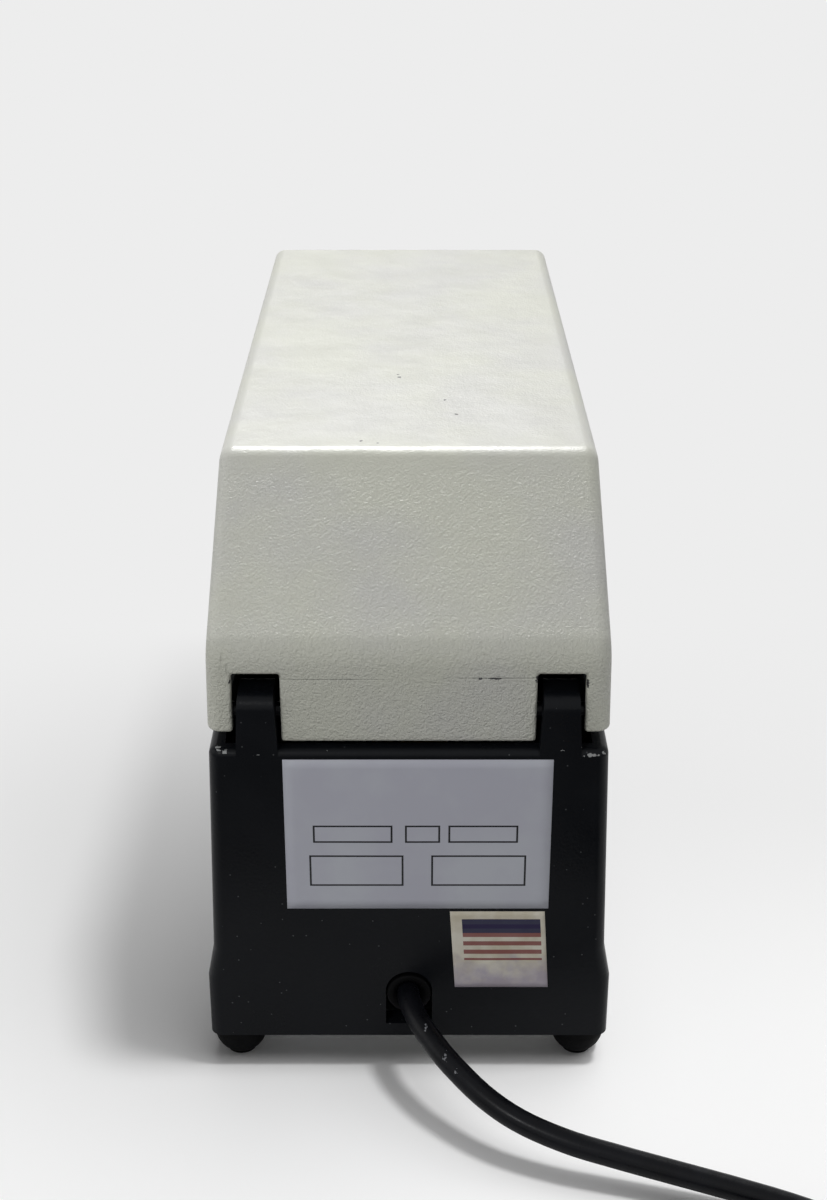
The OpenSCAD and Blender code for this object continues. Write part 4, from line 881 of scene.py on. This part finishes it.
@dataclass
class CoverHousing:
    """The cream lid casting with its two hinge notches, the tongue between them and the side flaps."""

    low: float = 126.8
    high: float = 199.5
    rear: float = 160.2
    half_low: float = 63.0
    lean: float = 1.6
    front_top: float = -158.5
    bend_z: float = 155.0
    slope_run: float = 56.8
    bend_radius: float = 13.0
    edge_radii: tuple[float, float] = (9.0, 5.0)
    side_radius: float = 4.6
    inner_radius: float = 0.8
    wall: float = 3.9
    notch: tuple[float, float, float] = (39.7, 54.7, 147.1)
    notch_y: float = 150.0
    tongue_drop: float = 3.3
    hinge_at: tuple[float, float] = (154.5, 132.0)
    boss_radius: float = 5.4
    boss_spans: tuple[tuple[float, float], ...] = ((31.0, 38.6), (55.9, 58.4))
    lock_z: float = 150.0
    pad_radii: tuple[float, float] = (8.1, 13.0)
    pad_span: tuple[float, float] = (-160.9, -154.2)
    edge_width: float = 1.1

    def outline(self) -> Array:
        """Side outline, rows of y and z: from the tongue's lower edge up and over to the front lower edge."""
        corners = np.array([
            [self.rear, self.low], [self.rear, self.bend_z], [self.rear - self.slope_run, self.high],
            [self.front_top, self.high], [-self.rear, self.low],
        ])
        path = densify(round_corners(corners, [self.bend_radius, *self.edge_radii], 10), 4.0)
        # One point is moved onto the height of the notch's top, so that the notch ends on a row
        top = self.notch[2]
        nearest = int(np.argmin(np.where(path[:, 0] > self.notch_y, np.abs(path[:, 1] - top), np.inf)))
        path[nearest, 1] = top
        return np.concatenate([[[self.rear, self.low - self.tongue_drop]], path])

    def half(self, z: Array) -> Array:
        """Half width at a height: the sides lean in evenly."""
        return self.half_low - self.lean * np.clip(z - self.low, 0, None) / (self.high - self.low)

    def sheet(self, inset: float, radius: float) -> Array:
        """One face of the casting as a grid of points, outside at inset 0 and inside at the wall's thickness.

        Rows follow the side outline, and columns go across from +X to -X. Round a side's edge, at
        angle a from the flat, a point lies radius times (1 - cos a) in from the outline and radius
        times sin a out from where the flat ends.

        Args:
            inset: distance inwards from the outline and the sides.
            radius: radius of the long edges.

        Returns:
            Array of rows by columns by 3.
        """
        line = self.outline()
        inward = left_normals(line)
        line = line + inward * inset
        line[:2, 1] = self.low - self.tongue_drop, self.low
        line[-1, 1] = self.low
        a, b, _ = self.notch
        flats = np.array([b, (a + b) / 2, a, *range(30, -31, -10), -a, -(a + b) / 2, -b])
        side = []
        for angle in np.linspace(np.pi / 2, 0, 8):
            at = line + inward * radius * (1 - np.cos(angle))
            at[:2, 1], at[-1, 1] = line[:2, 1], line[-1, 1]
            out = self.half(at[:, 1]) - inset - radius + radius * np.sin(angle)
            side.append(np.stack([out, *at.T], axis=1))
        across = [np.stack([np.full(len(line), x), *line.T], axis=1) for x in flats]
        return np.stack([*side, *across, *[s * [-1, 1, 1] for s in side[::-1]]], axis=1)

    def shell(self) -> tuple[Array, list]:
        """The closed casting: outer grid, inner grid and the rim that joins them.

        The cells of the notches and those beside the tongue are left out, and each side is one flat
        face. Every edge that only one outer face has is joined to its twin on the inner grid.
        """
        outer, inner = self.sheet(0.0, self.side_radius), self.sheet(self.wall, self.inner_radius)
        rows, wide = outer.shape[:2]
        quads = grid_quads(rows, wide)
        centre = outer.reshape(-1, 3)[quads].mean(axis=1)
        beside = np.abs(centre[:, 0])
        near, far, top = self.notch
        in_notch = (beside > near) & (beside < far) & (centre[:, 1] > self.notch_y) & (centre[:, 2] < top)
        kept = quads[~(in_notch | ((quads[:, 0] < wide) & (beside > near)))].tolist()
        along = np.arange(1, rows) * wide
        kept += [along.tolist(), (along[::-1] + wide - 1).tolist()]
        edges = {(f[i - 1], f[i]) for f in kept for i in range(len(f))}
        count = rows * wide
        rim = [[j, i, i + count, j + count] for i, j in edges if (j, i) not in edges]
        inside = [[i + count for i in f[::-1]] for f in kept]
        return np.concatenate([outer.reshape(-1, 3), inner.reshape(-1, 3)]), kept + inside + rim

    def bosses(self) -> tuple[Array, list]:
        """Hinge bosses beside the notches, and the round pad that carries the lock."""
        shapes = []
        r = self.boss_radius
        for low, high in self.boss_spans:
            for side in (-1, 1):
                profile = np.array([[0.0, low], [r, low], [r, high], [0.0, high]]) * [1, side]
                shapes.append(lathe(profile[::side], (0, *self.hinge_at), "x", 40))
        (inner, outer), (front, back) = self.pad_radii, self.pad_span
        ring = [[inner, front], [outer, front], [outer, back], [inner, back], [inner, front]]
        return join_shapes(*shapes, lathe(ring, (0, 0, self.lock_z), "y", 72))

    def make(self) -> None:
        """Builds the cover and dresses what belongs to it."""
        points, faces = join_shapes(self.shell(), self.bosses())
        casting = weld(write_piece("cover_casting", points, faces, Body.COVER, CREAM))
        soften(casting, self.edge_width, 50)
        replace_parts(casting, "cover_shell")
        dress(ENAMEL, "hinge_pins")
        dress(CHROME, "lock_body")
        dress(BRASS, "lock_plug")


@dataclass
class BaseHousing:
    """The black base casting, its feet and bottom, and the label and sticker on its rear wall.

    The corners of the label and the sticker are x and z, in the order +X low, -X low, -X high, +X high.
    """

    low: float = 12.7
    height: float = 109.3
    rear_low: float = 165.0
    end_lean: float = 1.8
    edge_width: float = 1.0
    lift: float = 0.14
    paper: float = 0.12
    ripple: float = 0.03
    label: tuple[tuple[float, float], ...] = ((39.4, 63.7), (-45.2, 63.7), (-45.2, 119.0), (39.4, 119.0))
    sticker: tuple[tuple[float, float], ...] = ((-15.2, 32.6), (-46.0, 32.6), (-44.1, 62.5), (-13.3, 62.5))

    def rear_wall(self, z: Array) -> Array:
        """Y of the rear wall's face at a height: it leans in evenly."""
        return self.rear_low - self.end_lean * (z - self.low) / self.height

    def stuck_sheet(self, name: str, corners: tuple[tuple[float, float], ...], finish: Finish) -> Piece:
        """A thin sheet stuck on the rear wall between four corners.

        A point of the grid is the mean of the corners weighted by its two coordinates, raised off the
        wall by the lift and by soft ripples.

        Args:
            name: the piece's name.
            corners: x and z of the corners.
            finish: the paper's finish.

        Returns:
            The sheet.
        """
        u, v = np.meshgrid(np.linspace(0, 1, 25), np.linspace(0, 1, 17))
        weights = np.stack([(1 - u) * (1 - v), u * (1 - v), u * v, (1 - u) * v], axis=-1)
        x, z = (weights @ np.array(corners)).transpose(2, 0, 1)
        ripples = self.ripple * np.sin(u * 9 + 1) * np.sin(v * 7 + 2)
        y = self.rear_wall(z) + self.lift + ripples
        points, uv = np.stack([x, y, z], -1).reshape(-1, 3), np.stack([u, v], -1).reshape(-1, 2)
        piece = write_piece(name, points, grid_quads(*u.shape), Body.BASE, finish, uv)
        add_modifier(piece, "SOLIDIFY", thickness=self.paper / 1000, offset=-1.0)
        return piece

    def make(self) -> None:
        """Builds the base's pieces and dresses its nodes."""
        self.stuck_sheet("data_label", self.label, LABEL)
        self.stuck_sheet("small_sticker", self.sticker, STICKER)
        refined("base_casting", self.edge_width, Body.BASE, ENAMEL)
        dress(RUBBER, "rubber_feet", "cover_bumpers")
        dress(ZINC, "foot_screws", "bottom_cover")


@dataclass
class Mechanism:
    """The frame, type wheels, ribbon, hammer and trigger, whose CAD shapes stay, and the plunger's spring."""

    wire: float = 0.6
    spring_turns: int = 4
    spring_keep: float = 0.54
    finishes: dict[Finish, tuple[str, ...]] = field(default_factory=lambda: {
        ZINC: (
            "chassis_plate", "chassis_screws", "right_side_plate", "left_side_plate", "frame_spacers",
            "front_tie_bar", "paper_table", "table_screws", "type_shaft", "gear_stud", "synchronous_motor",
            "ribbon_guides", "ribbon_shield", "spool_shafts", "hammer_pivot", "solenoid_frame",
            "trigger_pivot", "minute_gear", "feed_ratchet", "feed_pawl", "plunger",
        ),
        BLACKENED: ("spacer_screws", "lock_strike", "paper_stop", "hammer_arm", "trigger_lever"),
        BRASS: (
            "minute_wheel", "hour_wheel", "year_wheel", "day_wheel", "month_wheel",
            "idler_gear", "motor_pinion",
        ),
        BLACK_ABS: ("switch_body", "front_spool", "rear_spool"),
        IVORY: ("terminal_block", "switch_button"),
        TAPE: ("solenoid_coil",),
        RIBBON: ("ribbon_strip", "front_ribbon_roll", "rear_ribbon_roll"),
        RUBBER: ("platen_pad",),
    })

    def spring(self) -> Piece:
        """The plunger's return spring, a wire on a helix.

        At turn t of n the wire's middle lies at angle 2 pi t on the coil's radius, and its height goes
        evenly from the lower end to the upper.
        """
        low, high = (np.array(corner) * 1000 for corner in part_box("plunger_spring"))
        middle = (low + high) / 2
        r = (high[0] - low[0]) / 2 - self.wire
        t = np.linspace(0, 1, 24 * self.spring_turns + 1)
        a = 2 * np.pi * self.spring_turns * t
        z = low[2] + self.wire + t * (high[2] - low[2] - 2 * self.wire)
        line = np.stack([middle[0] + r * np.cos(a), middle[1] + r * np.sin(a), z], axis=1)
        points, faces, _ = pipe(line, self.wire, 10)
        piece = weld(write_piece("plunger_return_spring", points, faces, Body.BASE, ZINC), 0.001)
        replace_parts(piece, "plunger_spring")
        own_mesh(piece)
        return piece

    def make(self) -> None:
        """Dresses every node of the mechanism."""
        for finish, nodes in self.finishes.items():
            dress(finish, *nodes)
        self.spring()


@dataclass(frozen=True)
class Lamp:
    """A lamp: the direction it shines from, the brightness of white that faces it, and its width in degrees.

    A near lamp has a distance in metres from the machine's middle, and a far one has none.
    """

    name: str
    toward: tuple[float, float, float]
    white: float
    angle: float
    on_floor: bool = False
    distance: float = 0.0


@dataclass
class Studio:
    """A pale floor that runs out of the picture, soft light from above the front, and the camera.

    The camera's place is in millimetres. The floor's tones, painted lighter towards the camera, and its
    painted glow change along Y, at distances in metres.
    """

    camera_at: tuple[float, float, float] = (-1.5, 633.9, 398.0)
    pitch: float = 25.45
    focal_px: float = 1750.0
    frame_px: float = 1200.0
    sensor_mm: float = 36.0
    backdrop: str = "#EDEDED"
    near_floor: str = "#FAFAFA"
    # Painted light: the floor's tone goes from the backdrop's to the lighter near_floor towards the camera
    ramp: tuple[float, float] = (-0.02, 0.17)
    # Painted light: the floor glows more and more away from the camera, which fades the object's shadow there
    painted_glow: tuple[float, float, float] = (0.165, -0.17, 1.2)
    mirrored_to: tuple[float, float] = (0.31, 0.27)
    middle: tuple[float, float, float] = (0.0, 0.12, 0.15)
    bounce: float = 0.25
    ambient: float = 0.16
    lamps: tuple[Lamp, ...] = (
        Lamp("key", (0.05, -0.7, 0.71), 0.68, 22.0),
        Lamp("sky", (0.0, 0.9, 0.45), 0.1, 100.0),
        Lamp("left", (1.0, 0.0, 0.45), 0.11, 40.0),
        Lamp("right", (-1.0, 0.0, 0.45), 0.06, 40.0),
        Lamp("fill", (0.35, 0.7, 0.6), 0.17, 12.0, distance=0.9),
        Lamp("floor_soft", (-0.4, -0.1, 1.0), 0.5, 65.0, True),
        Lamp("floor_crisp", (-0.3, 0.0, 1.0), 0.375, 9.0, True),
    )

    def camera(self) -> None:
        """The camera at the photograph's place and angle; its lens comes from the focal length in pixels."""
        lens = bpy.data.cameras.new("camera")
        lens.lens = self.focal_px / self.frame_px * self.sensor_mm
        lens.sensor_width = self.sensor_mm
        lens.clip_start, lens.clip_end = 0.01, 60.0
        eye = bpy.data.objects.new("camera", lens)
        eye.location = [v / 1000 for v in self.camera_at]
        eye.rotation_euler = (math.radians(90 - self.pitch), 0.0, math.pi)
        bpy.context.scene.collection.objects.link(eye)
        bpy.context.scene.camera = eye

    def seen(self, tree: Tree) -> Socket:
        """1 for camera, glossy and transmission rays, which show the background, and 0 for the rest."""
        rays = add(tree, "LightPath").node.outputs
        pale = add(tree, "Math", (rays["Is Camera Ray"], rays["Is Glossy Ray"]), operation="MAXIMUM")
        return add(tree, "Math", (pale, rays["Is Transmission Ray"]), operation="MAXIMUM")

    def floor(self) -> Piece:
        """The floor: pale where it is seen, painted lighter near the camera and glowing far off to fade the
        shadow, and dim in what it throws back.
        """
        mesh = bpy.data.meshes.new("floor")
        mesh.from_pydata([(-9, -9, 0), (9, -9, 0), (9, 7, 0), (-9, 7, 0)], [], [(0, 1, 2, 3)])
        piece = bpy.data.objects.new("floor", mesh)
        bpy.context.scene.collection.objects.link(piece)
        made = bpy.data.materials.new("pale_floor")
        made.use_nodes = True
        tree = made.node_tree
        tree.nodes.clear()
        run = add(tree, "SeparateXYZ", (add(tree, "TexCoord", out=3),), 1)
        # The tone is painted lighter towards the camera, standing in for the light there
        near = add(tree, "MapRange", (run, *self.ramp), interpolation_type="SMOOTHSTEP")
        ends = {6: linear(self.backdrop), 7: linear(self.near_floor)}
        tone = add(tree, "Mix", {0: near, **ends}, 2, data_type="RGBA")
        lit = add(tree, "BsdfDiffuse", {"Color": tone})
        # Painted light: the floor glows in its own tone, more away from the camera, so the object's shadow
        # fades there
        painted_glow = add(tree, "Emission", {"Color": tone})
        near, far, power = self.painted_glow
        away = add(tree, "MapRange", (run, near, far))
        share = add(tree, "Math", (away, power), operation="POWER")
        pale = add(tree, "MixShader", (share, lit, painted_glow))
        dim = add(tree, "BsdfDiffuse", {"Color": (self.bounce,) * 3 + (1.0,)})
        # Reflections show the floor pale only nearer than mirrored_to, and dim beyond it
        within = add(tree, "MapRange", (run, *self.mirrored_to))
        camera = add(tree, "LightPath").node.outputs["Is Camera Ray"]
        shown = add(tree, "Math", (within, camera), operation="MAXIMUM")
        where = add(tree, "Math", (shown, self.seen(tree)), operation="MULTIPLY")
        both = add(tree, "MixShader", (where, dim, pale))
        tree.links.new(both, tree.nodes.new("ShaderNodeOutputMaterial").inputs["Surface"])
        mesh.materials.append(made)
        return piece

    def world(self) -> None:
        """The world: an even dim light, seen as the pale backdrop."""
        scene = bpy.context.scene
        scene.view_settings.view_transform = "Standard"
        world = bpy.data.worlds.new("studio")
        world.use_nodes = True
        scene.world = world
        tree = world.node_tree
        tree.nodes.clear()
        dim = add(tree, "Background", {"Color": (1.0, 1.0, 1.0, 1.0), "Strength": self.ambient})
        pale = add(tree, "Background", {"Color": linear(self.backdrop)})
        both = add(tree, "MixShader", (self.seen(tree), dim, pale))
        tree.links.new(both, tree.nodes.new("ShaderNodeOutputWorld").inputs["Surface"])

    def lamp(self, lamp: Lamp, floor: Piece) -> None:
        """Makes one lamp, which lights the floor only or everything else.

        A surface of albedo 1 that faces it shows as lamp.white: a sun needs a strength of pi times
        that, and a disk at distance d a power of pi squared times d squared times that.
        """
        near = lamp.distance > 0
        light = bpy.data.lights.new(lamp.name, "AREA" if near else "SUN")
        toward = Vector(lamp.toward).normalized()
        head = bpy.data.objects.new(lamp.name, light)
        if near:
            light.shape = "DISK"
            light.size = 2 * lamp.distance * math.tan(math.radians(lamp.angle / 2))
            light.energy = math.pi**2 * lamp.distance**2 * lamp.white
            head.location = Vector(self.middle) + toward * lamp.distance
        else:
            light.energy = math.pi * lamp.white
            light.angle = math.radians(lamp.angle)
        head.rotation_mode = "QUATERNION"
        head.rotation_quaternion = toward.to_track_quat("Z", "Y")
        bpy.context.scene.collection.objects.link(head)
        lit = bpy.data.collections.new(lamp.name + "_lit")
        lit.objects.link(floor)
        lit.collection_objects[0].light_linking.link_state = "INCLUDE" if lamp.on_floor else "EXCLUDE"
        head.light_linking.receiver_collection = lit

    def make(self) -> None:
        """Sets up camera, floor and light."""
        self.camera()
        floor = self.floor()
        self.world()
        for lamp in self.lamps:
            self.lamp(lamp, floor)


def main() -> None:
    """Makes the studio, then each sub-assembly in order."""
    logging.basicConfig(level=logging.INFO, format="%(message)s")
    for part in (Studio(), MainsLead(), BaseHousing(), CoverHousing(), Mechanism()):
        part.make()
        log.info("made %s", type(part).__name__)


if __name__ == "__main__":
    main()
